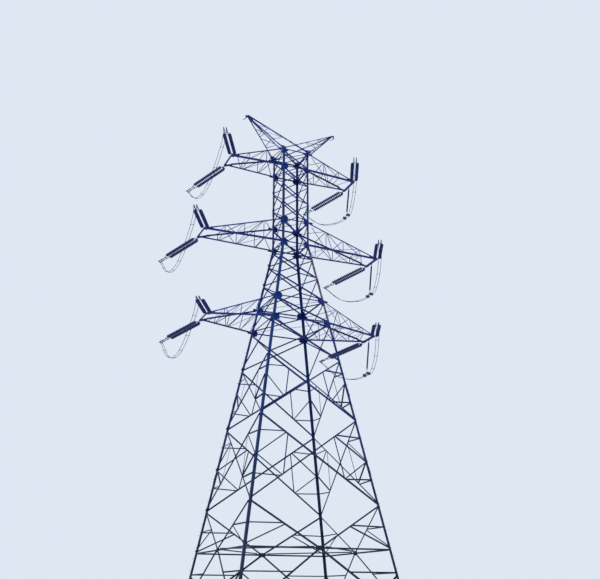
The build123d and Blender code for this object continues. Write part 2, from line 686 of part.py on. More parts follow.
ARM_LEVELS = (
    ("lower", LOWER_ARM_Z, LOWER_ARM_DEPTH, LOWER_ARM_REACH, 4),
    ("middle", WAIST_Z, MIDDLE_ARM_DEPTH, MIDDLE_ARM_REACH, 4),
    ("upper", UPPER_ARM_Z, UPPER_ARM_DEPTH, UPPER_ARM_REACH, 3),
)
ARMS = [
    Arm(f"arm_{hand}_{level}", sx, z, depth, reach, panels)
    for hand, sx in (("left", -1), ("right", 1))
    for level, z, depth, reach, panels in ARM_LEVELS
]


class PeakPlane:
    """One of the two inclined planes, front or back, that hold the chords of both horns."""

    def __init__(self, sy):
        self.sy = sy
        self.rise = PEAK_Z - TOWER_TOP_Z
        self.height = sqrt(self.rise ** 2 + CAGE_HALF ** 2)
        self.normal = Vector(0, sy * self.rise, CAGE_HALF).normalized()

    def point(self, x, w, out=0.0):
        """Point at x, w up the plane from the tower top, moved out of it by out."""
        t = w / self.height
        return Vector(x, self.sy * CAGE_HALF * (1 - t), TOWER_TOP_Z + self.rise * t) + self.normal * out

    def line(self, x0, x1):
        """Working line from the tower top at x0 to the tip at x1, as start and unit direction in (x, w)."""
        length = sqrt((x1 - x0) ** 2 + self.height ** 2)
        return x0, (x1 - x0) / length, self.height / length, length

    def along(self, line, distance, side=0.0):
        """(x, w) at a distance along a line, moved sideways from it."""
        x0, dx, dw, _ = line
        return x0 + dx * distance - dw * side, dw * distance + dx * side

    def sheet(self, corners, lift=SEAT):
        """Plate on the outside of the plane."""
        points = [self.point(x, w, lift) for x, w in corners]
        return prism(points, self.normal * PEAK_PLATE_THICK)


def peaks():
    """Two horns that carry the earth wires: chords to the near legs below and to the far legs above."""
    chord_layer = 2 * SEAT + PEAK_PLATE_THICK
    for hand, sx in (("left", -1), ("right", 1)):
        solids = []
        for sy in (-1, 1):
            plane = PeakPlane(sy)
            lower = plane.line(sx * CAGE_HALF, sx * PEAK_REACH)
            upper = plane.line(-sx * CAGE_HALF, sx * PEAK_REACH)
            full = lower[3]
            # lower chord: one flange in the plane, the other in the underside
            start = plane.point(*plane.along(lower, 62.0))
            end = plane.point(*plane.along(lower, full - 400.0))
            beside = plane.point(*plane.along(lower, 0.0, sx * 100.0))
            in_plane = beside - plane.point(*plane.along(lower, 0.0))
            solids.append(corner_angle(start, end, in_plane, Vector(0, -sy, 0), PEAK_CHORD))
            # upper chord, whole on the left horn and cut where it crosses on the right one
            crossing = CAGE_HALF / upper[1] * sx
            runs = [(85.0, upper[3] - 110.0)]
            if sx > 0:
                runs = [(85.0, crossing - 85.0), (crossing + 85.0, upper[3] - 110.0)]
                middle = plane.along(upper, crossing)[1]
                cover = [(x, middle + w) for x, w in ((-210, 0), (0, -120), (210, 0), (0, 120))]
                solids.append(plane.sheet(cover, lift=0))
            for near, far in runs:
                ends = [plane.point(*plane.along(upper, d), chord_layer) for d in (near, far)]
                solids.append(angle_bar(*ends, plane.normal, PEAK_CHORD))
            # plate over the leg top, and the plate that closes the tip
            a = sx * CAGE_HALF
            foot = ((-210, SEAT), (115, SEAT), (330, 250), (190, 375), (-60, 330), (-330, 235))
            solids.append(plane.sheet([(a + sx * x, w) for x, w in foot]))
            cap = [
                plane.along(lower, full - PEAK_TIP_RUN),
                plane.along(lower, full),
                plane.along(upper, upper[3] - PEAK_TIP_RUN * 0.94, sx * 60.0),
            ]
            solids.append(plane.sheet(cap))
            # webs between the two chords, behind both
            for low_share, high_share, way in PEAK_WEBS:
                x0, w0 = plane.along(lower, full * low_share - way * WEB_STAGGER, sx * 30.0)
                x1, w1 = plane.along(upper, upper[3] * high_share + way * WEB_STAGGER)
                apart = abs((x1 - lower[0]) * lower[2] - w1 * lower[1])
                over = (PEAK_CHORD[0] + 1.1 * WEB_BAR[0]) / apart
                rise = PEAK_CHORD[1] + SEAT + PEAK_PLATE_THICK + SEAT
                low = plane.point(x0, w0, -(PEAK_CHORD[1] + SEAT) - rise * over / (1 - over))
                high = plane.point(x1, w1, chord_layer - SEAT)
                solids.append(flat_bar(low, high, plane.normal * -1, WEB_BAR))
        under = Vector(sx * (PEAK_Z - TOWER_TOP_Z), 0, CAGE_HALF - PEAK_REACH).normalized()
        for share in (0.3, 0.55):
            ends = []
            for sy in (-1, 1):
                plane = PeakPlane(sy)
                lower = plane.line(sx * CAGE_HALF, sx * PEAK_REACH)
                ends.append(plane.point(*plane.along(lower, lower[3] * share)) + under * SEAT)
            solids.append(flat_bar(*ends, under, WEB_BAR))
        lug_x, lug_z = sx * PEAK_REACH, PEAK_Z - 17.0
        lug = [(40, 0), (-110, 0), (-80, -180), (-30, -300), (30, -300)]
        solids.append(prism([Vector(lug_x + sx * x, -6.0, lug_z + z) for x, z in lug], Vector(0, 12.0, 0)))
        write(f"peak_{hand}", solids)


# Insulator sets and jumpers

def shed_stack(start, along, side, length, sheds, shed_dia, core_dia):
    """Closed six-sided stack of sheds along a string; each shed may stand for a few."""
    pitch = length / sheds
    rise = along.cross(side)
    rings = [(0.0, core_dia / 2)]
    for i in range(sheds):
        rings.append(((i + 0.35) * pitch, shed_dia / 2))
        rings.append(((i + 1) * pitch, core_dia / 2))
    corners = []
    for x, radius in rings:
        turns = [(cos(k * pi / 3), sin(k * pi / 3)) for k in range(6)]
        corners.append([start + along * x + side * (radius * c) + rise * (radius * s) for c, s in turns])
    faces = [Face(Wire.make_polygon(ring, close=True)) for ring in (corners[0], corners[-1])]
    for low, high in zip(corners, corners[1:]):
        for k in range(6):
            n = (k + 1) % 6
            faces.append(Face(Wire.make_polygon([low[k], low[n], high[n], high[k]], close=True)))
    return Solid(Shell(faces))


class TensionSet:
    """Twin string that pulls on one end of a tip beam: clevis, yoke, two strings, yoke and two clamps."""

    def __init__(self, arm, sy):
        swing, dip = (FRONT_SWING, FRONT_DIP) if sy < 0 else (BACK_SWING, BACK_DIP)
        self.pin = Vector(arm.tip_x, sy * (TIP_HALF + 95.0), arm.z - SEAT - PULL_PLATE_THICK / 2)
        self.level = Vector(-sin(radians(swing)), sy * cos(radians(swing)), 0)
        self.side = UP.cross(self.level)
        self.along = self.level * cos(radians(dip)) - UP * sin(radians(dip))
        self.rise = self.level * sin(radians(dip)) + UP * cos(radians(dip))
        self.axis_drop = 11.0 + SEAT + YOKE_THICK / 2

    def at(self, x, y=0.0, z=0.0):
        """Point in the dipping frame of the strings."""
        return self.pin + self.along * x + self.side * y + self.rise * z

    def profile(self, outline, width, y=0.0):
        """Outline in the upright plane through the string, carried across it by width."""
        return prism([self.at(x, y - width / 2, z) for x, z in outline], self.side * width)

    def yoke(self, outline):
        """Plate in the plane of the two strings."""
        low = -self.axis_drop - YOKE_THICK / 2
        return prism([self.at(x, y, low) for x, y in outline], self.rise * YOKE_THICK)

    def clevis(self):
        """Level clevis over the pull plate, with the dipping tongue that holds the yoke."""
        gap = PULL_PLATE_THICK / 2 + SEAT
        cheek = gap + 12.0
        level = [(-35.0, gap), (-35.0, cheek), (92.0, cheek)]
        back = [(60.0, -gap), (60.0, gap)]
        points = [self.pin + self.level * x + UP * z for x, z in level]
        points += [self.at(260.0, 0, 11.0), self.at(260.0, 0, -11.0), self.at(150.0, 0, -11.0)]
        points += [self.pin + self.level * x - UP * z for x, z in reversed(level)]
        points += [self.pin + self.level * x + UP * z for x, z in back]
        shift = self.side * -28.0
        return prism([p + shift for p in points], self.side * 56.0)

    def string_end(self):
        """Distance from the pin to the outer yoke."""
        return STRING_START + DISC_COUNT * DISC_PITCH

    def fittings(self):
        """Metal parts of the set."""
        wide, narrow = STRING_SPACING / 2 + 50.0, TWIN_HALF + 50.0
        inner = [(165, -50), (165, 50), (240, wide), (STRING_START - SEAT, wide)]
        inner += [(STRING_START - SEAT, -wide), (240, -wide)]
        end = self.string_end() + SEAT
        outer = [(end, -wide), (end, wide), (end + YOKE_RIM, wide), (end + YOKE_DEPTH, narrow)]
        outer += [(end + YOKE_DEPTH, -narrow), (end + YOKE_RIM, -wide)]
        near, far = end + YOKE_RIM, end + YOKE_DEPTH - YOKE_RIM
        opening = [(near, YOKE_RIM - wide), (near, wide - YOKE_RIM), (far, narrow - 0.6 * YOKE_RIM)]
        opening += [(far, 0.6 * YOKE_RIM - narrow)]
        frame = self.yoke(outer) - self.yoke(opening)
        return [self.clevis(), self.yoke(inner)] + frame.solids() + [self.clamp(way) for way in (-1, 1)]

    def clamp(self, way):
        """Link and tapering dead-end clamp, with the slanting terminal that the jumper leaves."""
        link, mid = self.string_end() + YOKE_DEPTH + 2 * SEAT, -self.axis_drop
        base = link + LINK_LENGTH
        tip = base + CLAMP_LENGTH
        c, s = cos(radians(TERMINAL_SLOPE)), sin(radians(TERMINAL_SLOPE))
        root_x, root_z = base + 0.80 * CLAMP_LENGTH, -14.0
        width = 20.0
        upper = (root_x - c * TERMINAL_LENGTH - s * width, root_z - s * TERMINAL_LENGTH + c * width)
        lower = (root_x - c * TERMINAL_LENGTH + s * width, root_z - s * TERMINAL_LENGTH - c * width)
        outline = [(link, 14), (base, 14), (base + 30, 30), (base + 180, 34), (tip, 18), (tip, -18)]
        outline += [(root_x + 2 * width, -22), lower, upper, (root_x - 3 * width, -26)]
        outline += [(base + 30, -28), (base, -14), (link, -14)]
        return self.profile([(x, z + mid) for x, z in outline], CLAMP_WIDTH, way * TWIN_HALF)

    def terminal(self, way):
        """Middle of a terminal's end face, where the jumper begins."""
        c, s = cos(radians(TERMINAL_SLOPE)), sin(radians(TERMINAL_SLOPE))
        root_x = self.string_end() + YOKE_DEPTH + 2 * SEAT + LINK_LENGTH + 0.80 * CLAMP_LENGTH
        length = TERMINAL_LENGTH + SEAT
        return self.at(root_x - c * length, way * TWIN_HALF, -14.0 - self.axis_drop - s * length)

    def strings(self):
        """Two strings of insulators."""
        solids = []
        for way in (-1, 1):
            start = self.at(STRING_START, way * STRING_SPACING / 2, -self.axis_drop)
            length = DISC_COUNT * DISC_PITCH
            sheds = round(DISC_COUNT / SHED_GROUP)
            solids.append(shed_stack(start, self.along, self.side, length, sheds, DISC_DIA, CAP_DIA))
        return solids


class HangingSet:
    """Rod insulator under the middle of a tip beam that holds the jumper out."""

    def __init__(self, arm):
        self.foot = Vector(arm.tip_x + HANGER_FOOT, 0, arm.z)
        self.held = Vector(arm.tip_x + HELD_X - HELD_DRAW / 2, 0, arm.z + HELD_Z - HELD_FALL / 2)
        self.down = (self.held - self.foot).normalized()
        self.side = Vector(0, 1, 0).cross(self.down) * -1

    def at(self, side, down, y=0.0):
        """Point beside the rod's axis, a distance down it and moved along Y."""
        return self.foot + self.side * side + self.down * down + Vector(0, y, 0)

    def link(self):
        """Plate under the tip beam, drawn out into the link that holds the rod."""
        wide, drop = 30.0, 75.0
        top = ((-wide, -drop), (-wide, -SEAT), (wide, -SEAT), (wide, -drop))
        outline = [self.foot + Vector(x, -8.0, z) for x, z in top]
        outline += [self.at(18.0, HANGER_LINK, -8.0), self.at(-18.0, HANGER_LINK, -8.0)]
        return prism(outline, Vector(0, 16.0, 0))

    def rod(self):
        """Insulator."""
        start = self.at(0, HANGER_LINK + SEAT)
        sizes = HANGER_ROD, HANGER_SHEDS, HANGER_SHED_DIA, HANGER_CORE_DIA
        return shed_stack(start, self.down, Vector(0, 1, 0), *sizes)

    def bar(self):
        """Plate under the rod, spread along the line to carry a clamp at each end."""
        start, low = HANGER_LINK + HANGER_ROD + 2 * SEAT, HANGER_BAR_DROP
        wide = HANGER_CLAMP_HALF + HANGER_CLAMP_RUN / 2
        outline = [(-18, start), (18, start), (30, low - 110), (wide, low - 45), (wide, low)]
        outline += [(-y, down) for y, down in reversed(outline[2:])]
        return prism([self.at(-8.0, down, y) for y, down in outline], self.side * 16.0)

    def clamp(self, end):
        """Cross-piece under one end of the bar, with a slot open outwards for each conductor."""
        y = end * HANGER_CLAMP_HALF - HANGER_CLAMP_RUN / 2
        wide, bore = TWIN_HALF + 62.0, 0.9 * CONDUCTOR_DIA
        sides = []
        for way in (1, -1):
            lies = self.held + Vector(way * TWIN_HALF, 0, 0) - self.foot
            side, down = lies.dot(self.side), lies.dot(self.down)
            edge, back = way * wide, side - way * bore
            upper = [(edge, HANGER_BAR_DROP + SEAT), (edge, down - bore), (back, down - bore)]
            sides.append(upper + [(back, down + bore), (edge, down + bore), (edge, down + 60.0)])
        outline = sides[0] + sides[1][::-1]
        return prism([self.at(side, down, y) for side, down in outline], Vector(0, HANGER_CLAMP_RUN, 0))


def jumper_route(arm, way):
    """Points of one conductor of an arm's jumper, on side way of the pair."""
    loop = FREE_LOOP if arm.sx < 0 else HELD_LOOP
    inner = [
        Vector(arm.tip_x + x + way * TWIN_HALF, y * (1 + way * TWIN_STRETCH), arm.z + z) for x, y, z in loop
    ]
    return [TensionSet(arm, -1).terminal(way)] + inner + [TensionSet(arm, 1).terminal(-way)]


def conductor(name, route):
    """Tube along a route of short runs joined by the largest arcs that fit."""
    runs = [b - a for a, b in zip(route, route[1:])]
    radii = []
    for first, second in zip(runs, runs[1:]):
        turn = radians(first.get_angle(second))
        radii.append(0.45 * min(first.length, second.length) / tan(turn / 2))
    path = FilletPolyline(*route, radius=radii)
    # flat-sided section of the same area as the round conductor
    turn = 2 * pi / CONDUCTOR_SIDES
    radius = CONDUCTOR_DIA / 2 * sqrt(turn / sin(turn))
    section = Plane(origin=path @ 0, z_dir=path % 0) * RegularPolygon(radius, CONDUCTOR_SIDES)
    tube = sweep(section, path=path.wire())
    shares = tube.volume / (section.area * path.length)
    longest = max(run.length for run in runs)
    print(name, f"length {path.length:.0f} radii {min(radii):.0f} to {max(radii):.0f}", end=" ")
    print(f"longest run {longest:.0f} volume over section by length {shares:.4f}")
    write(name, tube.solids())


def insulator_sets():
    """Insulators, fittings and jumpers of every arm."""
    for arm in ARMS:
        sets = [TensionSet(arm, sy) for sy in (-1, 1)]
        strings = [solid for item in sets for solid in item.strings()]
        fittings = [solid for item in sets for solid in item.fittings()]
        if arm.sx > 0:
            hanging = HangingSet(arm)
            strings.append(hanging.rod())
            fittings += [hanging.link(), hanging.bar(), hanging.clamp(-1), hanging.clamp(1)]
        place = arm.name[4:]
        write(f"insulators_{place}", strings)
        write(f"string_fittings_{place}", fittings)
        for label, way in (("outer", -1), ("inner", 1)):
            conductor(f"jumper_{place}_{label}", jumper_route(arm, way))


legs()
base_plates()
splay_bracing()
belt()
body_bracing()
neck_bracing()
cage_bracing()
floor_frames()
for arm in ARMS:
    arm.build()
peaks()
insulator_sets()
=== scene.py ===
"""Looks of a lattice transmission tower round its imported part: discs, jumpers, bolts, steps and finishes."""

import json
import logging
from collections.abc import Iterable, Sequence
from dataclasses import dataclass
from enum import Enum
from itertools import combinations
from math import cos, pi, radians, sin

import bpy
import numpy as np
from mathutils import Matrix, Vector
from mathutils.bvhtree import BVHTree

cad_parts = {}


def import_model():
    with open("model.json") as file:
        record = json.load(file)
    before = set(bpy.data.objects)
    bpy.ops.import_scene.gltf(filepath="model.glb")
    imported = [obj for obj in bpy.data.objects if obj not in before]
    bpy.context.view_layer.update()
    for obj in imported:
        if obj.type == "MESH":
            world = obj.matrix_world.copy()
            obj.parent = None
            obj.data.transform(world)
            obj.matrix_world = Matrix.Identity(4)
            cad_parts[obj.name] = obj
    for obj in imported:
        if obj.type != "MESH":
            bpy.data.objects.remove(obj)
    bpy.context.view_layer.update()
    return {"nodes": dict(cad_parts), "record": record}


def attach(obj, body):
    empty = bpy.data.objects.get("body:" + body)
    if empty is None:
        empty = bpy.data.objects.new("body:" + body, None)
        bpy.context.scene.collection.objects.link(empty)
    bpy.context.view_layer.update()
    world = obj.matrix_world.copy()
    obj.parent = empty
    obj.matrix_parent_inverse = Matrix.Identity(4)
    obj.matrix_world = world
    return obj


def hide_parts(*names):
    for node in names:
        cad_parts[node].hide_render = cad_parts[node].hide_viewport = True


LOG = logging.getLogger("tower")
BODY = "root"
SIDES = ("front", "right", "back", "left")
CORNERS = {"front_left": (-1, -1), "front_right": (1, -1), "back_right": (1, 1), "back_left": (-1, 1)}
X_AXIS, Y_AXIS, UP = np.eye(3)
SQUARE, HEXAGON, OCTAGON, DECAGON, ROUND = 4, 6, 8, 10, 12
ROUND_WALL = (True, False, False)
Colour = tuple[float, float, float]
Paint = Colour | bpy.types.NodeSocket
Point = tuple[float, float, float]
Profile = Sequence[tuple[float, float]]
Template = tuple[np.ndarray, list[np.ndarray]]


class Side(Enum):
    """The two ends of a tip beam, as the sign of Y."""

    FRONT = -1
    BACK = 1


class Slot(Enum):
    """Material slots of the record."""

    LEG = "leg_steel"
    FOOT = "foot_steel"
    BODY = "body_steel"
    CAGE = "cage_steel"
    ARM = "arm_steel"
    PEAK = "peak_steel"
    PORCELAIN = "porcelain"
    FITTING = "fitting_steel"
    CONDUCTOR = "conductor"


# Shader expressions


class Value:
    """A number in a node tree, so that shader maths reads as arithmetic."""

    def __init__(self, graph: "Graph", socket: bpy.types.NodeSocket) -> None:
        """Wraps an output socket of graph."""
        self.graph = graph
        self.socket = socket

    def _math(self, operation: str, *terms: "Value | float") -> "Value":
        """One Math node over the terms."""
        return self.graph.out("ShaderNodeMath", 0, {"operation": operation}, dict(enumerate(terms)))

    def __add__(self, other: "Value | float") -> "Value":
        """Sum."""
        return self._math("ADD", self, other)

    __radd__ = __add__

    def __mul__(self, other: "Value | float") -> "Value":
        """Product."""
        return self._math("MULTIPLY", self, other)

    __rmul__ = __mul__

    def __sub__(self, other: "Value | float") -> "Value":
        """Difference."""
        return self._math("SUBTRACT", self, other)

    def __rsub__(self, other: "Value | float") -> "Value":
        """Difference with the number first."""
        return self._math("SUBTRACT", other, self)

    def sine(self) -> "Value":
        """Sine of an angle in radians."""
        return self._math("SINE", self)

    def above(self, low: float, high: float) -> "Value":
        """Rises from 0 to 1 as the number goes from low to high."""
        ends = {0: self, 1: low, 2: high, 3: 0.0, 4: 1.0}
        return self.graph.out("ShaderNodeMapRange", 0, {"clamp": True}, ends)


class Graph:
    """Node tree of one material or of the world."""

    def __init__(self, tree: bpy.types.NodeTree) -> None:
        """Starts an empty tree."""
        self.tree = tree
        tree.nodes.clear()

    def node(self, kind: str, settings: dict | None = None, inputs: dict | None = None) -> bpy.types.Node:
        """Adds a node.

        Args:
            kind: the node's type.
            settings: its own settings, set before its sockets.
            inputs: values, links or Value objects by socket name or number.

        Returns:
            The node.
        """
        made = self.tree.nodes.new(kind)
        for name, setting in (settings or {}).items():
            setattr(made, name, setting)
        for name, given in (inputs or {}).items():
            if isinstance(given, Value):
                given = given.socket
            if isinstance(given, bpy.types.NodeSocket):
                self.tree.links.new(given, made.inputs[name])
            else:
                made.inputs[name].default_value = given
        return made

    def out(
        self, kind: str, output: str | int, settings: dict | None = None, inputs: dict | None = None
    ) -> Value:
        """Adds a node and returns one of its outputs."""
        return Value(self, self.node(kind, settings, inputs).outputs[output])

    def place(self, stretch: Point = (1.0, 1.0, 1.0)) -> bpy.types.NodeSocket:
        """Object coordinates, stretched along the axes."""
        where = self.node("ShaderNodeTexCoord").outputs["Object"]
        return self.node("ShaderNodeMapping", {}, {"Vector": where, "Scale": stretch}).outputs[0]

    def axis(self, vector: bpy.types.NodeSocket, name: str) -> Value:
        """X, Y or Z of a vector."""
        return self.out("ShaderNodeSeparateXYZ", name, {}, {0: vector})

    def noise(self, scale: float, detail: float = 3.0, stretch: Point = (1.0, 1.0, 1.0)) -> Value:
        """Soft noise from 0 to 1, with features about 1 / scale metres wide."""
        inputs = {"Vector": self.place(stretch), "Scale": scale, "Detail": detail}
        return self.out("ShaderNodeTexNoise", "Fac", {}, inputs)

    def blend(self, share: Value, first: Paint, second: Paint) -> bpy.types.NodeSocket:
        """Colour that goes from first to second as share goes from 0 to 1."""
        ends = [(*c, 1.0) if isinstance(c, tuple) else c for c in (first, second)]
        mix = {0: share, 6: ends[0], 7: ends[1]}
        return self.node("ShaderNodeMix", {"data_type": "RGBA"}, mix).outputs[2]

    def bump(self, height: Value, strength: float, distance: float) -> bpy.types.NodeSocket:
        """Normal of a surface raised by height."""
        inputs = {"Strength": strength, "Distance": distance, "Height": height}
        return self.node("ShaderNodeBump", {}, inputs).outputs[0]

    def surface(self, inputs: dict) -> None:
        """Principled shader to the output."""
        shader = self.node("ShaderNodeBsdfPrincipled", {}, inputs)
        self.node("ShaderNodeOutputMaterial", {}, {"Surface": shader.outputs[0]})


def shade(colour: Colour, factor: float) -> Colour:
    """Colour made lighter or darker by factor."""
    return tuple(min(1.0, channel * factor) for channel in colour)


@dataclass(frozen=True)
class Finish:
    """What every finish has: a name and a base colour."""

    name: str
    tone: Colour

    def dress(self, graph: Graph) -> None:
        """Fills the node tree."""
        graph.surface({"Base Color": (*self.tone, 1.0)})

    def material(self) -> bpy.types.Material:
        """The material, made once."""
        found = bpy.data.materials.get(self.name)
        if found is None:
            found = bpy.data.materials.new(self.name)
            found.use_nodes = True
            self.dress(Graph(found.node_tree))
            found.diffuse_color = (*self.tone, 1.0)
        return found


@dataclass(frozen=True)
class Zinc(Finish):
    """Hot-dip galvanised steel: crystal grain, rain streaks, pale dust on top and a little rust.

    The tone goes over to a greyer one towards the ground. The painted warm highlight and the painted pale
    highlight have their own places.
    """

    bright: float = 0.06
    rust: float = 0.10
    rough: float = 0.55
    low_tone: Colour = (0.010, 0.018, 0.038)
    grey_from: tuple[float, float] = (3.0, 17.0)
    # Shares of painted highlight, standing in for sunlight: a warm one on one leg and a pale one on the peaks'
    # bars.
    warm_highlight: float = 0.0
    pale: float = 0.0
    crystal_tone: Colour = (0.12, 0.20, 0.42)
    dust_tone: Colour = (0.16, 0.22, 0.38)
    rust_tone: Colour = (0.26, 0.12, 0.06)
    # Colours of the painted warm and pale highlights, and where they are painted, follow.
    warm_highlight_tone: Colour = (0.36, 0.22, 0.14)
    pale_highlight_tone: Colour = (0.42, 0.54, 0.74)
    pale_reach: tuple[float, float] = (9.0, 3.0)
    pale_height: tuple[float, float] = (36.4, 37.0)
    warm_highlight_edge: tuple[float, float] = (0.9, 1.1)
    warm_highlight_rise: tuple[float, float] = (20.0, 21.5)
    warm_highlight_fall: tuple[float, float] = (27.5, 26.0)

    def pale_highlight_share(self, graph: Graph) -> Value:
        """Share of painted pale highlight: on the peaks' steel over the cage, less and less towards their
        tips.
        """
        x, z = (graph.axis(graph.place(), name) for name in "XZ")
        near = (x * x).above(*self.pale_reach) * z.above(*self.pale_height)
        return near * graph.noise(3.1).above(0.42, 0.6) * self.pale

    def warm_highlight_share(self, graph: Graph) -> Value:
        """Share of painted warm highlight: on the corner towards +X and -Y, between the lower arms and the
        waist.
        """
        x, y, z = (graph.axis(graph.place(), name) for name in "XYZ")
        low, high = self.warm_highlight_edge
        band = z.above(*self.warm_highlight_rise) * z.above(*self.warm_highlight_fall)
        corner = x.above(low, high) * y.above(-low, -high)
        return corner * band * graph.noise(2.4).above(0.35, 0.6) * self.warm_highlight

    def dress(self, graph: Graph) -> None:
        """Tone by height and weather, with streaks, grain, dust, specks of rust and two painted highlights."""
        high = graph.axis(graph.place(), "Z").above(*self.grey_from)
        weather = graph.noise(0.9, 4.0)
        streaks = graph.noise(7.0, 3.0, (1.0, 1.0, 0.12))
        grain = graph.out("ShaderNodeTexVoronoi", "Distance", {}, {"Vector": graph.place(), "Scale": 42.0})
        specks = graph.noise(23.0, 5.0).above(0.62, 0.75) * weather.above(0.45, 0.7)
        up = graph.axis(graph.node("ShaderNodeNewGeometry").outputs["Normal"], "Z")
        dark, light = (graph.blend(high, shade(self.low_tone, f), shade(self.tone, f)) for f in (0.6, 1.5))
        colour = graph.blend(weather * 0.6 + streaks * 0.4, dark, light)
        colour = graph.blend(grain.above(0.2, 0.9) * self.bright, colour, self.crystal_tone)
        colour = graph.blend(up.above(0.55, 1.0) * 0.12, colour, self.dust_tone)
        colour = graph.blend(specks * self.rust, colour, self.rust_tone)
        # Painted warm highlight of low sunlight along one leg.
        if self.warm_highlight:
            colour = graph.blend(self.warm_highlight_share(graph), colour, self.warm_highlight_tone)
        # Painted pale highlight of sunlight on the peaks' bars over the cage.
        if self.pale:
            colour = graph.blend(self.pale_highlight_share(graph), colour, self.pale_highlight_tone)
        graph.surface({
            "Base Color": colour,
            "Roughness": self.rough + (weather - 0.5) * 0.25 + specks * 0.2,
            "Metallic": 0.35,
            "Specular IOR Level": 0.15,
            "Normal": graph.bump(grain * 0.6 + graph.noise(160.0, 2.0), 0.25, 0.002),
        })


@dataclass(frozen=True)
class Glaze(Finish):
    """Glazed porcelain: dark slate, with dust settled on it."""

    dust_tone: Colour = (0.07, 0.11, 0.24)

    def dress(self, graph: Graph) -> None:
        """Slate that pools darker in the hollows, under a thin coat dulled by dust."""
        pool = graph.noise(9.0)
        dust = graph.noise(3.0, 4.0, (1.0, 1.0, 0.5)).above(0.45, 0.8)
        slate = graph.blend(pool, shade(self.tone, 0.7), shade(self.tone, 1.35))
        graph.surface({
            "Base Color": graph.blend(dust * 0.10, slate, self.dust_tone),
            "Roughness": 0.26 + dust * 0.35,
            "Specular IOR Level": 0.3,
            "Coat Weight": 0.25,
            "Coat Roughness": 0.12,
            "Normal": graph.bump(pool, 0.05, 0.001),
        })


@dataclass(frozen=True)
class Strands(Finish):
    """Stranded aluminium: wires laid round the conductor at a slant."""

    wires: int = 24
    turns: float = 36.0

    def dress(self, graph: Graph) -> None:
        """Ridges from the sine of the angle round the conductor plus the way along it."""
        chart = graph.node("ShaderNodeTexCoord").outputs["UV"]
        along, around = (graph.axis(chart, name) for name in "XY")
        ridge = ((around * self.wires + along * self.turns * self.wires) * (2 * pi)).sine() * 0.5 + 0.5
        weather = graph.noise(4.0, 4.0)
        # Painted shade and highlight: grooves between the wires darker and their crowns lighter, mixed with
        # random weather tone.
        groove_shade_and_weather = ridge * 0.6 + weather * 0.4
        graph.surface({
            "Base Color": graph.blend(groove_shade_and_weather, shade(self.tone, 0.6), shade(self.tone, 1.2)),
            "Roughness": 0.42 + weather * 0.2,
            "Metallic": 0.7,
            "Normal": graph.bump(ridge, 0.5, 0.002),
        })


@dataclass(frozen=True)
class Concrete(Finish):
    """Plain pale floor."""

    def dress(self, graph: Graph) -> None:
        """Even tone with a hint of variation."""
        tone = graph.blend(graph.noise(0.3), self.tone, shade(self.tone, 0.96))
        graph.surface({"Base Color": tone, "Roughness": 0.9})


FINISHES: dict[Slot, Finish] = {
    # The legs carry a painted warm highlight on one corner.
    Slot.LEG: Zinc("leg_zinc", (0.005, 0.025, 0.130), warm_highlight=0.5),
    Slot.FOOT: Zinc("foot_zinc", (0.10, 0.11, 0.14), rust=0.5, low_tone=(0.050, 0.056, 0.072)),
    Slot.BODY: Zinc("body_zinc", (0.004, 0.023, 0.120)),
    Slot.CAGE: Zinc("cage_zinc", (0.002, 0.016, 0.145)),
    Slot.ARM: Zinc("arm_zinc", (0.002, 0.018, 0.150)),
    # The peaks carry a painted pale highlight.
    Slot.PEAK: Zinc("peak_zinc", (0.006, 0.036, 0.170), bright=0.12, pale=0.7),
    Slot.PORCELAIN: Glaze("slate_glaze", (0.002, 0.013, 0.100)),
    Slot.FITTING: Zinc("forged_zinc", (0.004, 0.020, 0.105), rough=0.45),
    Slot.CONDUCTOR: Strands("stranded_aluminium", (0.010, 0.036, 0.150)),
}
CAP_FINISH = Zinc("cap_zinc", (0.003, 0.018, 0.110), rough=0.5)


# Meshes


def linked(name: str, data: bpy.types.ID) -> bpy.types.Object:
    """A new object of the data, in the scene."""
    made = bpy.data.objects.new(name, data)
    bpy.context.scene.collection.objects.link(made)
    return made


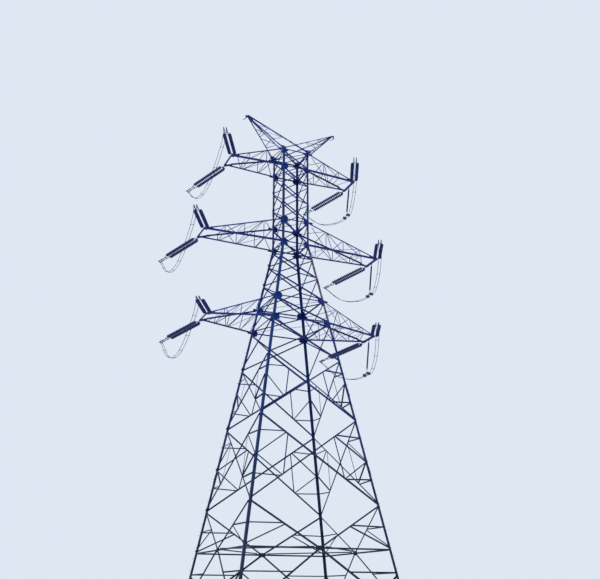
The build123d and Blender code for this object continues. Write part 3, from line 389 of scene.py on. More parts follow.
class Shell:
    """Points and faces of one piece, gathered as whole arrays."""

    def __init__(self) -> None:
        """Starts empty."""
        self.points: list[np.ndarray] = []
        self.faces: list[np.ndarray] = []
        self.smooth: list[np.ndarray] = []
        self.count = 0

    def add(self, points: np.ndarray, faces: Iterable[np.ndarray], smooth: Sequence[bool] = ()) -> None:
        """Adds one template at one or many places.

        Args:
            points: (n, 3) points, or (copies, n, 3).
            faces: arrays of corner numbers, one array for each number of corners.
            smooth: for each array, whether its faces shade smoothly.
        """
        copies = points.reshape(-1, points.shape[-2], 3)
        faces = list(faces)
        shift = (np.arange(len(copies)) * copies.shape[1] + self.count)[:, None, None]
        for corners, flag in zip(faces, smooth or [False] * len(faces)):
            moved = (corners[None] + shift).reshape(-1, corners.shape[1])
            self.faces.append(moved)
            self.smooth.append(np.full(len(moved), flag))
        self.points.append(copies.reshape(-1, 3))
        self.count += copies.shape[0] * copies.shape[1]

    def stand(
        self,
        template: Template,
        origins: np.ndarray,
        axes: np.ndarray,
        across: np.ndarray = UP,
        smooth: Sequence[bool] = (),
    ) -> None:
        """Adds copies of a template: its Z goes along each axis and its X across it.

        Args:
            template: points and faces.
            origins: (m, 3) places, or one place.
            axes: (m, 3) directions of its Z, or one.
            across: (m, 3) rough directions of its X, or one.
            smooth: as in add.
        """
        points, faces = template
        z = np.atleast_2d(axes) / np.linalg.norm(np.atleast_2d(axes), axis=1, keepdims=True)
        x = across - np.sum(across * z, axis=1, keepdims=True) * z
        x /= np.linalg.norm(x, axis=1, keepdims=True)
        turn = np.stack([x, np.cross(z, x), z], axis=1)
        self.add(np.atleast_2d(origins)[:, None] + points @ turn, faces, smooth)

    def build(self, name: str, slot: Slot, finish: Finish | None = None) -> bpy.types.Object:
        """Makes the piece's object, at the origin, dressed and riding on the tower.

        Args:
            name: the piece's name.
            slot: the record's material slot.
            finish: its finish, where it isn't the slot's own.

        Returns:
            The object.
        """
        mesh = bpy.data.meshes.new(name)
        points = np.concatenate(self.points)
        loops = np.concatenate([f.ravel() for f in self.faces])
        sizes = np.concatenate([np.full(len(f), f.shape[1]) for f in self.faces])
        starts = np.concatenate([[0], np.cumsum(sizes)[:-1]])
        mesh.vertices.add(len(points))
        mesh.vertices.foreach_set("co", points.astype(np.float32).ravel())
        mesh.loops.add(len(loops))
        mesh.loops.foreach_set("vertex_index", loops.astype(np.int32))
        mesh.polygons.add(len(sizes))
        mesh.polygons.foreach_set("loop_start", starts.astype(np.int32))
        mesh.polygons.foreach_set("use_smooth", np.concatenate(self.smooth))
        mesh.update(calc_edges=True)
        mesh.validate()
        return settle(linked(name, mesh), slot, finish)


def settle(made: bpy.types.Object, slot: Slot, finish: Finish | None = None) -> bpy.types.Object:
    """Gives a new piece its material and body, and logs its slot."""
    made.data.materials.clear()
    made.data.materials.append((finish or FINISHES[slot]).material())
    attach(made, BODY)
    LOG.info("%s: %s", made.name, slot.value)
    return made


def points_of(mesh: bpy.types.Mesh) -> np.ndarray:
    """A mesh's points as an array."""
    points = np.zeros(len(mesh.vertices) * 3)
    mesh.vertices.foreach_get("co", points)
    return points.reshape(-1, 3)


def turned(profile: Profile, sides: int) -> Template:
    """Surface of revolution about Z.

    Ring i stands at height z_i, and its point j is at the angle 2 pi j / sides, radius r_i from the axis.

    Args:
        profile: (radius, height) pairs from the low end to the high end.
        sides: points in a ring.

    Returns:
        Points (n, 3), and the wall's quads and the two end faces.
    """
    rings = np.array(profile)
    angle = np.arange(sides) * 2 * pi / sides
    x, y = rings[:, :1] * np.cos(angle), rings[:, :1] * np.sin(angle)
    points = np.stack([x, y, np.repeat(rings[:, 1:], sides, axis=1)], axis=-1).reshape(-1, 3)
    row, col = np.meshgrid(np.arange(len(rings) - 1) * sides, np.arange(sides), indexing="ij")
    following = (col + 1) % sides
    corners = [row + col, row + following, row + sides + following, row + sides + col]
    ends = np.arange(sides)[::-1][None], (np.arange(sides) + (len(rings) - 1) * sides)[None]
    return points, [np.stack(corners, axis=-1).reshape(-1, 4), *ends]


def slab(outline: Profile, low: float, high: float) -> Template:
    """Plate: an outline in X and Y, counter-clockwise, carried up from Z low to Z high.

    Args:
        outline: corners.
        low: height of its underside.
        high: height of its top.

    Returns:
        Points and faces.
    """
    count = len(outline)
    points = np.concatenate([np.c_[np.array(outline, float), np.full(count, z)] for z in (low, high)])
    i = np.arange(count)
    walls = np.stack([i, (i + 1) % count, (i + 1) % count + count, i + count], axis=1)
    return points, [walls, i[::-1][None], (i + count)[None]]


class Steel:
    """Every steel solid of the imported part, to find what a bolt goes through."""

    deepest: float = 0.09
    gap: float = 0.0012
    skin: float = 1e-5
    skew: Point = (0.3, 0.5, 0.8)

    def __init__(self, nodes: Iterable[bpy.types.Object]) -> None:
        """Gathers the nodes' triangles."""
        points, triangles, count = [], [], 0
        for node in nodes:
            mesh = node.data
            mesh.calc_loop_triangles()
            corners = np.zeros(len(mesh.loop_triangles) * 3, np.int32)
            mesh.loop_triangles.foreach_get("vertices", corners)
            points.append(points_of(mesh))
            triangles.append(corners.reshape(-1, 3) + count)
            count += len(mesh.vertices)
        self.tree = BVHTree.FromPolygons(np.concatenate(points).tolist(), np.concatenate(triangles).tolist())

    def reach(self, place: np.ndarray, way: np.ndarray) -> float:
        """Distance from a place inside a plate to the outer face of the plates that lie on it.

        Args:
            place: the place.
            way: unit direction.

        Returns:
            The distance, or 0 where the place isn't inside a plate.
        """
        done, inside, ray = 0.0, True, Vector(way)
        while True:
            start = Vector(place + way * (done + self.skin))
            _, normal, _, distance = self.tree.ray_cast(start, ray, self.deepest if inside else self.gap)
            if inside and (normal is None or normal.dot(ray) < 0):
                return 0.0
            if normal is None:
                return done
            done += self.skin + distance
            inside = not inside

    def layers(self, place: np.ndarray, axis: np.ndarray, rim: float) -> tuple[float, float]:
        """Steel above and below a place, along a bolt.

        Args:
            place: a place inside a plate.
            axis: unit direction of the bolt.
            rim: radius of its head.

        Returns:
            The two thicknesses, or zeros where the head or the nut wouldn't sit flat.
        """
        up, down = self.reach(place, axis), self.reach(place, -axis)
        side = np.cross(axis, self.skew)
        side /= np.linalg.norm(side)
        for turn in (side, -side, np.cross(axis, side), -np.cross(axis, side)):
            edge = place + turn * rim
            if abs(self.reach(edge, axis) - up) > self.gap or abs(self.reach(edge, -axis) - down) > self.gap:
                return 0.0, 0.0
        return up, down


def bolt(size: float, grip: float) -> Template:
    """Hexagon bolt along Z with its head's seat at 0: washer, head, nut and thread end.

    Args:
        size: diameter of its thread.
        grip: thickness of what it holds.

    Returns:
        Points and faces.
    """
    washer, head, nut, thread = 0.15 * size, 0.65 * size, 0.8 * size, 1.5 * size
    wide, rim = 0.95 * size, 1.25 * size
    shell = Shell()
    for profile, sides in (
        (((rim, 0.0), (rim, washer)), OCTAGON),
        (((wide, washer), (wide, 0.8 * head), (0.75 * wide, head + washer)), HEXAGON),
        (((wide, -grip - nut), (wide, -grip)), HEXAGON),
        (((0.5 * size, -grip - thread), (0.5 * size, -grip - nut)), HEXAGON),
    ):
        shell.add(*turned(profile, sides))
    return np.concatenate(shell.points), shell.faces


class BoltRow:
    """Bolts and packing rings of one piece, sorted by size and grip. A ring's size is 0."""

    ring_radius: float = 0.030
    steep: float = 0.8

    def __init__(self, steel: Steel) -> None:
        """Starts empty."""
        self.steel = steel
        self.places: dict[tuple[float, float], list[tuple[np.ndarray, np.ndarray]]] = {}

    def put(self, place: np.ndarray, axis: np.ndarray, size: float, grip: float) -> None:
        """One bolt with its head's seat at place and its head towards axis."""
        self.places.setdefault((size, round(grip, 3)), []).append((place, axis))

    def pack(self, place: np.ndarray, axis: np.ndarray, height: float) -> None:
        """One packing ring that stands on place."""
        self.places.setdefault((0.0, round(height, 4)), []).append((place, axis))

    def through(self, place: np.ndarray, axis: np.ndarray, size: float, least: float = 0.0) -> None:
        """One bolt through the plates at a place inside one, where they are thick enough and flat."""
        up, down = self.steel.layers(place, axis, size)
        if min(up, down) > 0 and up + down > least:
            self.put(place + axis * up, axis, size, up + down)

    def build(self, name: str) -> None:
        """Makes all of them one piece."""
        shell = Shell()
        for (size, grip), rows in self.places.items():
            ring = ((self.ring_radius, 0.0), (self.ring_radius, grip))
            origins, axes = (np.array(given) for given in zip(*rows))
            across = np.where(np.abs(axes[:, 2:]) < self.steep, UP, X_AXIS)
            shell.stand(bolt(size, grip) if size else turned(ring, DECAGON), origins, axes, across)
        shell.build(name, Slot.FITTING)


# The tower's geometry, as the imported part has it


@dataclass(frozen=True)
class Arm:
    """One cross-arm's tip."""

    place: str
    way: int
    reach: float
    height: float
    depth: float

    def tip(self) -> np.ndarray:
        """Middle of the tip beam at the arm's level."""
        return np.array([self.way * self.reach, 0.0, self.height])


ARM_LEVELS = (("lower", 6.910, 21.0, 1.86), ("middle", 7.410, 27.8, 2.0), ("upper", 5.450, 34.65, 1.6))
ARMS = [
    Arm(f"{hand}_{level}", way, *sizes)
    for hand, way in (("left", -1), ("right", 1))
    for level, *sizes in ARM_LEVELS
]
WAIST = 27.8
LEG_SLOPE = 0.1765
CAGE_HALF = 1.130


def heel(sx: int, sy: int, z: float | np.ndarray) -> np.ndarray:
    """Outer corner of a leg at a height: straight in the cage, splayed under the waist."""
    half = CAGE_HALF + LEG_SLOPE * np.maximum(0.0, WAIST - z)
    return np.stack([sx * half, sy * half, z], axis=-1)


def flange_ways(sx: int, sy: int) -> np.ndarray:
    """For each flange of a leg, the way out of it and the way from the heel across it."""
    return np.array([[(sx, 0, 0), (0, -sy, 0)], [(0, sy, 0), (-sx, 0, 0)]], float)


@dataclass(frozen=True)
class TensionSet:
    """Twin string at one end of a tip beam: where its axis runs and how far along it each fitting stands.

    The angles are the line's, sideways from Y, and the wires', down from level.
    """

    arm: Arm
    side: Side
    front_angles: tuple[float, float] = (26.0, 5.0)
    back_angles: tuple[float, float] = (25.2, 8.9)
    seat: float = 0.0003
    beam_half: float = 0.860
    eye_out: float = 0.095
    eye_down: float = 0.010
    lug_half: float = 0.011
    yoke_half: float = 0.008
    spacing: float = 0.400
    start: float = 0.300
    pitch: float = 0.170
    discs: int = 19
    yoke_depth: float = 0.340
    link: float = 0.320
    twin_half: float = 0.100
    clamp_length: float = 0.520
    terminal_share: float = 0.80
    terminal_drop: float = 0.014
    terminal_slope: float = 56.0
    terminal_length: float = 0.120

    @property
    def drop(self) -> float:
        """Depth of the strings' axes under the pin's."""
        return self.lug_half + self.seat + self.yoke_half

    def axes(self) -> tuple[np.ndarray, np.ndarray, np.ndarray, np.ndarray]:
        """Pin, and unit directions along the string, beside it and up from it."""
        angles = self.front_angles if self.side is Side.FRONT else self.back_angles
        swing, dip = (radians(angle) for angle in angles)
        y = self.side.value
        pin = self.arm.tip() + [0.0, y * (self.beam_half + self.eye_out), -self.seat - self.eye_down]
        level = np.array([-sin(swing), y * cos(swing), 0.0])
        along = level * cos(dip) - UP * sin(dip)
        return pin, along, np.cross(UP, level), level * sin(dip) + UP * cos(dip)

    def laid(self, points: np.ndarray) -> np.ndarray:
        """Points given along, beside and above the pin, in the tower's frame."""
        pin, *ways = self.axes()
        return pin + points @ np.stack(ways)

    def at(self, x: float, y: float = 0.0, z: float = 0.0) -> np.ndarray:
        """Point x along the string, y beside it and z above it."""
        return self.laid(np.array([x, y, z]))

    def yoke(self) -> float:
        """Distance from the pin to the outer yoke."""
        return self.start + self.discs * self.pitch + self.seat

    def clamp(self) -> float:
        """Distance from the pin to the end of the link."""
        return self.yoke() + self.yoke_depth + self.link + self.seat

    def disc_places(self, way: int) -> np.ndarray:
        """Start of each disc of the string on side way."""
        steps = self.start + np.arange(self.discs) * self.pitch
        return self.at(0.0, way * self.spacing / 2, -self.drop) + steps[:, None] * self.axes()[1]

    def terminal(self, way: int, length: float | None = None) -> np.ndarray:
        """Middle of a clamp terminal, at its end face or at a length from its root."""
        slope = radians(self.terminal_slope)
        root = self.clamp() + self.terminal_share * self.clamp_length
        length = self.terminal_length + self.seat if length is None else length
        low = -self.terminal_drop - self.drop - sin(slope) * length
        return self.at(root - cos(slope) * length, way * self.twin_half, low)


# Picture


@dataclass(frozen=True)
class Viewpoint:
    """Camera at the photograph's angle: low on the ground, in front and to the left of the tower."""

    place: Point = (-22.57, -53.64, 1.65)
    look: Point = (0.373, 0.854, 0.362)
    lens: float = 47.4

    def build(self) -> None:
        """Makes the scene's camera."""
        data = bpy.data.cameras.new("camera")
        data.lens = self.lens
        data.sensor_width = 36.0
        data.clip_start, data.clip_end = 0.1, 1000.0
        camera = linked("camera", data)
        camera.location = self.place
        camera.rotation_euler = Vector(self.look).to_track_quat("-Z", "Y").to_euler()
        bpy.context.scene.camera = camera


@dataclass(frozen=True)
class Studio:
    """Pale floor, soft sky and one wide lamp."""

    floor: Colour = (0.72, 0.73, 0.74)
    sky: Colour = (0.74, 0.80, 0.90)
    light: Colour = (0.92, 0.95, 1.0)
    fill: float = 0.85
    sun: float = 2.2
    sun_wide: float = 18.0
    sun_from: Point = (-0.62, -0.25, 0.75)
    reach: float = 400.0

    def ground(self) -> None:
        """Makes the floor."""
        half = self.reach
        mesh = bpy.data.meshes.new("floor")
        corners = [(-half, -half, 0), (half, -half, 0), (half, half, 0), (-half, half, 0)]
        mesh.from_pydata(corners, [], [(0, 1, 2, 3)])
        mesh.materials.append(Concrete("pale_floor", self.floor).material())
        linked("floor", mesh)

    def heaven(self) -> None:
        """Makes the world: one light on the object, and one colour behind it and in its gloss."""
        world = bpy.data.worlds.new("sky")
        world.use_nodes = True
        bpy.context.scene.world = world
        graph = Graph(world.node_tree)
        path = graph.node("ShaderNodeLightPath").outputs
        rays = [Value(graph, path[f"Is {kind} Ray"]) for kind in ("Camera", "Glossy", "Transmission")]
        seen = (rays[0] + rays[1] + rays[2]).above(0.0, 1.0)
        lit = graph.node("ShaderNodeBackground", {}, {"Color": (*self.light, 1.0), "Strength": self.fill})
        shown = graph.node("ShaderNodeBackground", {}, {"Color": (*self.sky, 1.0), "Strength": 1.0})
        mixed = graph.node("ShaderNodeMixShader", {}, {0: seen, 1: lit.outputs[0], 2: shown.outputs[0]})
        graph.node("ShaderNodeOutputWorld", {}, {"Surface": mixed.outputs[0]})

    def build(self) -> None:
        """Makes floor, world and lamp."""
        self.ground()
        self.heaven()
        lamp = bpy.data.lights.new("sun", "SUN")
        lamp.energy = self.sun
        lamp.angle = radians(self.sun_wide)
        linked("sun", lamp).rotation_euler = Vector(self.sun_from).to_track_quat("Z", "Y").to_euler()
        bpy.context.scene.view_settings.view_transform = "Standard"


# Pieces


@dataclass(frozen=True)
class Jumpers:
    """Twin loops of conductor that carry the current past each tip, under the arm.

    Lengths and stations are the left arms' and then the right arms', lengths outer and then inner conductor.
    """

    diameter: float = 0.0336
    twin_half: float = 0.100
    twin_stretch: float = 0.0105
    collar: Profile = ((0.020, -0.040), (0.031, -0.030), (0.031, 0.030), (0.020, 0.040))
    sleeve: Profile = ((0.025, 0.001), (0.025, 0.130), (0.018, 0.160))
    bar_ends: tuple[float, float, float] = (0.014, 0.011, 0.05)
    free_loop: tuple[Point, ...] = (
        (-1.911, -4.706, -0.863), (-1.88, -4.37, -1.19), (-1.875, -4.02, -1.49), (-1.885, -3.66, -1.77),
        (-1.895, -3.29, -2.04), (-1.895, -2.9, -2.29), (-1.895, -2.5, -2.51), (-1.89, -2.08, -2.71),
        (-1.885, -1.65, -2.87), (-1.88, -1.21, -3.0), (-1.875, -0.76, -3.1), (-1.87, -0.31, -3.16),
        (-1.87, 0.15, -3.17), (-1.87, 0.61, -3.15), (-1.87, 1.07, -3.09), (-1.87, 1.52, -2.99),
        (-1.87, 1.96, -2.86), (-1.87, 2.39, -2.69), (-1.87, 2.8, -2.49), (-1.87, 3.2, -2.27),
        (-1.865, 3.59, -2.02), (-1.85, 3.96, -1.75), (-1.84, 4.32, -1.46), (-1.842, 4.67, -1.15),
    )
    held_loop: tuple[Point, ...] = (
        (-1.82, -4.75, -0.85), (-1.695, -4.49, -1.18), (-1.585, -4.23, -1.51), (-1.475, -3.95, -1.82),
        (-1.36, -3.65, -2.12), (-1.245, -3.33, -2.39), (-1.12, -2.98, -2.61), (-0.995, -2.6, -2.8),
        (-0.87, -2.21, -2.95), (-0.728, -1.785, -3.043), (-0.58, -1.37, -3.077), (-0.42, -0.96, -3.052),
        (-0.295, -0.53, -3.003), (-0.29, -0.13, -2.99), (-0.29, 0.13, -2.99), (-0.295, 0.53, -3.003),
        (-0.42, 0.96, -3.05), (-0.578, 1.38, -3.032), (-0.738, 1.815, -2.953), (-0.875, 2.25, -2.845),
        (-1.005, 2.66, -2.7), (-1.12, 3.06, -2.52), (-1.24, 3.43, -2.31), (-1.36, 3.79, -2.06),
        (-1.48, 4.11, -1.77), (-1.6, 4.41, -1.46), (-1.733, 4.706, -1.134),
    )
    lengths: tuple[tuple[float, float], ...] = ((11.406, 11.570), (12.119, 12.287))
    sleeve_ends: tuple[tuple[int, int], ...] = ((0, 3), (-1, -4))
    stations: tuple[tuple[float, ...], ...] = (
        (0.10, 0.26, 0.42, 0.58, 0.74, 0.90), (0.09, 0.21, 0.34, 0.66, 0.79, 0.91),
    )

    def route(self, arm: Arm, way: int) -> np.ndarray:
        """Points of one conductor, from the front terminal to the back one."""
        loop = np.array(self.free_loop if arm.way < 0 else self.held_loop)
        loop = loop * [1.0, 1.0 + way * self.twin_stretch, 1.0]
        inner = arm.tip() + loop + [way * self.twin_half, 0.0, 0.0]
        first = TensionSet(arm, Side.FRONT).terminal(way)
        last = TensionSet(arm, Side.BACK).terminal(-way)
        return np.concatenate([[first], inner, [last]])

    def curve(self, name: str, points: np.ndarray) -> bpy.types.Object:
        """One smooth curve with the points as its control points."""
        curve = bpy.data.curves.new(name, "CURVE")
        curve.dimensions = "3D"
        spline = curve.splines.new("NURBS")
        spline.points.add(len(points) - 1)
        spline.points.foreach_set("co", np.c_[points, np.ones(len(points))].ravel())
        spline.order_u = 3
        spline.use_endpoint_u = True
        curve.resolution_u = 8
        return linked(name, curve)

    def line(self, made: bpy.types.Object) -> np.ndarray:
        """Points of a curve that has no bevel yet."""
        mesh = bpy.data.meshes.new_from_object(made)
        points = points_of(mesh)
        bpy.data.meshes.remove(mesh)
        return points

    def spacers(self, arm: Arm, pair: list[np.ndarray]) -> None:
        """Makes the bars that keep twin conductors apart, with their collars, and the sleeves at the ends.

        Args:
            arm: the arm.
            pair: points of the outer and of the inner conductor.
        """
        shell = Shell()
        stations = np.round(np.array(self.stations[arm.way > 0]) * (len(pair[0]) - 1)).astype(int)
        for points in pair:
            ways = points[stations + 1] - points[stations - 1]
            shell.stand(turned(self.collar, DECAGON), points[stations], ways, UP, ROUND_WALL)
            for end, near in self.sleeve_ends:
                way = points[near] - points[end]
                shell.stand(turned(self.sleeve, DECAGON), points[end], way, UP, ROUND_WALL)
        thick, thin, taper = self.bar_ends
        for station in stations:
            span = pair[1][station] - pair[0][station]
            length = float(np.linalg.norm(span))
            bar = ((thick, 0.0), (thin, taper), (thin, length - taper), (thick, length))
            shell.stand(turned(bar, OCTAGON), pair[0][station], span)
        shell.build(f"spacers_{arm.place}", Slot.FITTING)

    def build(self) -> None:
        """Makes the twelve conductors and what is on them."""
        for arm in ARMS:
            routes = {label: self.route(arm, way) for label, way in (("outer", -1), ("inner", 1))}
            curves = [
                self.curve(f"conductor_{arm.place}_{label}", points) for label, points in routes.items()
            ]
            self.spacers(arm, [self.line(made) for made in curves])
            for (label, points), way, made in zip(routes.items(), (-1, 1), curves):
                made.data.bevel_depth = self.diameter / 2
                made.data.bevel_resolution = 3
                made.data.use_fill_caps = True
                settle(made, Slot.CONDUCTOR)
                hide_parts(f"jumper_{arm.place}_{label}")
                tuple(points[0])


@dataclass(frozen=True)
class Hanger:
    """Rod insulator that holds a right-hand jumper out."""

    arm: Arm
    link: float = 0.2503
    rod_length: float = 2.290
    sheds: int = 56
    shed_from: float = 0.08
    core: float = 0.044
    shed_radius: float = 0.071
    narrow: float = 0.88
    shed_shape: tuple[float, float, float] = (0.45, 0.55, 0.65)
    core_in: float = 0.02
    sides: int = 14
    socket: Profile = ((0.018, 0.0), (0.037, 0.008), (0.037, 0.070), (0.025, 0.078))
    foot_x: float = 0.030
    held_x: float = -0.2925
    held_z: float = -2.9965

    def foot(self) -> np.ndarray:
        """Point on the tip beam that it hangs from."""
        return self.arm.tip() + [self.foot_x, 0.0, 0.0]

    def down(self) -> np.ndarray:
        """Unit direction of the rod."""
        held = np.array([self.held_x - self.foot_x, 0.0, self.held_z])
        return held / np.linalg.norm(held)

    def across(self) -> np.ndarray:
        """Unit direction across the rod, towards +X."""
        return -np.cross(Y_AXIS, self.down())

    def at(self, side: float, down: float, y: float = 0.0) -> np.ndarray:
        """Point beside the rod's axis, a distance down it and moved along Y."""
        return self.foot() + self.across() * side + self.down() * down + Y_AXIS * y

    def rod(self) -> Profile:
        """Core with its sheds, every other one narrower: each is a slope, a rim and an underside."""
        pitch = (self.rod_length - 2 * self.shed_from) / self.sheds
        profile = [(self.core, self.core_in)]
        for i in range(self.sheds):
            low, radius = self.shed_from + i * pitch, self.shed_radius * (1.0 if i % 2 else self.narrow)
            slope, rim, root = (low + share * pitch for share in self.shed_shape)
            profile += [(self.core, low), (radius, slope), (radius, rim), (self.core, root)]
        return [*profile, (self.core, self.rod_length - self.core_in)]

    def build(self, sheds: Shell, metal: Shell) -> None:
        """Adds the rod and the steel socket at each of its ends."""
        top, bottom = self.at(0.0, self.link), self.at(0.0, self.link + self.rod_length)
        length = self.socket[-1][1]
        upturned = [(radius, length - z) for radius, z in self.socket[::-1]]
        sheds.stand(turned(self.rod(), self.sides), top, self.down(), Y_AXIS)
        metal.stand(turned(self.socket, ROUND), top, self.down(), Y_AXIS)
        metal.stand(turned(upturned, ROUND), bottom - self.down() * length, self.down(), Y_AXIS)


@dataclass(frozen=True)
class Insulators:
    """Cap-and-pin discs strung one below the other, and the rods of the +X arms."""

    shed: Profile = (
        (0.050, 0.064), (0.106, 0.086), (0.1390, 0.117), (0.1400, 0.126), (0.117, 0.114), (0.060, 0.130),
    )
    cap: Profile = ((0.018, 0.000), (0.038, 0.004), (0.050, 0.024), (0.054, 0.062), (0.050, 0.070))
    pin: Profile = ((0.022, 0.120), (0.017, 0.146), (0.017, 0.172))

    def build(self) -> None:
        """Makes the porcelain and the caps of each arm."""
        for arm in ARMS:
            sheds, metal = Shell(), Shell()
            for side in Side:
                pull = TensionSet(arm, side)
                along = pull.axes()[1]
                places = np.concatenate([pull.disc_places(way) for way in (-1, 1)])
                sheds.stand(turned(self.shed, ROUND), places, along, X_AXIS, ROUND_WALL)
                for profile in (self.cap, self.pin):
                    metal.stand(turned(profile, OCTAGON), places, along, X_AXIS, ROUND_WALL)
            if arm.way > 0:
                Hanger(arm).build(sheds, metal)
            made = sheds.build(f"discs_{arm.place}", Slot.PORCELAIN)
            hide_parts(f"insulators_{arm.place}")
            metal.build(f"disc_caps_{arm.place}", Slot.PORCELAIN, CAP_FINISH)


@dataclass(frozen=True)
class Strip:
    """Straight strip of steel: an angle's flange from its heel line, or a flat bar about its middle line."""

    start: np.ndarray
    along: np.ndarray
    length: float
    out: np.ndarray
    thick: float
    across: np.ndarray
    width: float

    def ends(self, distance: float) -> Iterable[np.ndarray]:
        """Points on its first line, a distance in from each end."""
        yield self.start + self.along * distance
        yield self.start + self.along * (self.length - distance)


class Bars:
    """Straight bars of a CAD node, read from its mesh."""

    angle_thick: float = 0.08
    angle_shape: float = 3.0
    flat_shape: float = 4.0
    flat_thick: float = 0.013
    flat_width: float = 0.1

    def __init__(self, node: str) -> None:
        """Finds the separate solids of the node."""
        mesh = bpy.data.objects[node].data
        points = points_of(mesh)
        _, first, same = np.unique(np.round(points, 5), axis=0, return_index=True, return_inverse=True)
        edges = np.zeros(len(mesh.edges) * 2, int)
        mesh.edges.foreach_get("vertices", edges)
        edges = same.ravel()[edges].reshape(-1, 2)
        group = np.arange(len(first))
        while True:
            before = group.copy()
            low = np.minimum(group[edges[:, 0]], group[edges[:, 1]])
            np.minimum.at(group, edges[:, 0], low)
            np.minimum.at(group, edges[:, 1], low)
            group = group[group]
            if np.array_equal(group, before):
                break
        self.solids = [points[first][group == g] for g in np.unique(group)]

    def prisms(self, corners: int) -> Iterable[tuple[np.ndarray, np.ndarray, float]]:
        """Solids with that many corners at each end: those at one end, the direction and the length."""
        for solid in self.solids:
            if len(solid) == 2 * corners:
                axis = np.linalg.svd(solid - solid.mean(0), full_matrices=False)[2][0]
                way = solid @ axis
                yield solid[np.argsort(way)[:corners]], axis, way.max() - way.min()

    def flanges(self) -> Iterable[Strip]:
        """The two flanges of each rolled angle; out is the side of the other flange."""
        for near, axis, length in self.prisms(6):
            flat = near - np.outer(near @ axis - near[0] @ axis, axis)
            apart = np.linalg.norm(flat[:, None] - flat[None], axis=-1)
            i, j = np.unravel_index(apart.argmax(), apart.shape)
            line = (flat[j] - flat[i]) / apart[i, j]
            off = flat - flat[i] - np.outer((flat - flat[i]) @ line, line)
            corner = flat[np.linalg.norm(off, axis=1).argmax()]
            u, v = flat[i] - corner, flat[j] - corner
            width = float(np.linalg.norm(u))
            if abs(u @ v) > 0.5 * width * width or length < self.angle_shape * width:
                continue
            for flange, other in ((u, v), (v, u)):
                across = flange / np.linalg.norm(flange)
                out = np.cross(axis, across)
                out *= np.sign(out @ other) / np.linalg.norm(out)
                yield Strip(corner, axis, length, out, self.angle_thick * width, across, width)

    def flats(self) -> Iterable[Strip]:
        """Each flat bar."""
        for near, axis, length in self.prisms(4):
            sides = near - near[0]
            lengths = np.linalg.norm(sides, axis=1)
            _, thin, wide, _ = np.argsort(lengths)
            thick, width = lengths[thin], lengths[wide]
            if thick <= self.flat_thick and width <= self.flat_width and length >= self.flat_shape * width:
                out, across = sides[thin] / thick, sides[wide] / width
                yield Strip(near.mean(0), axis, length, out, thick, across, width)


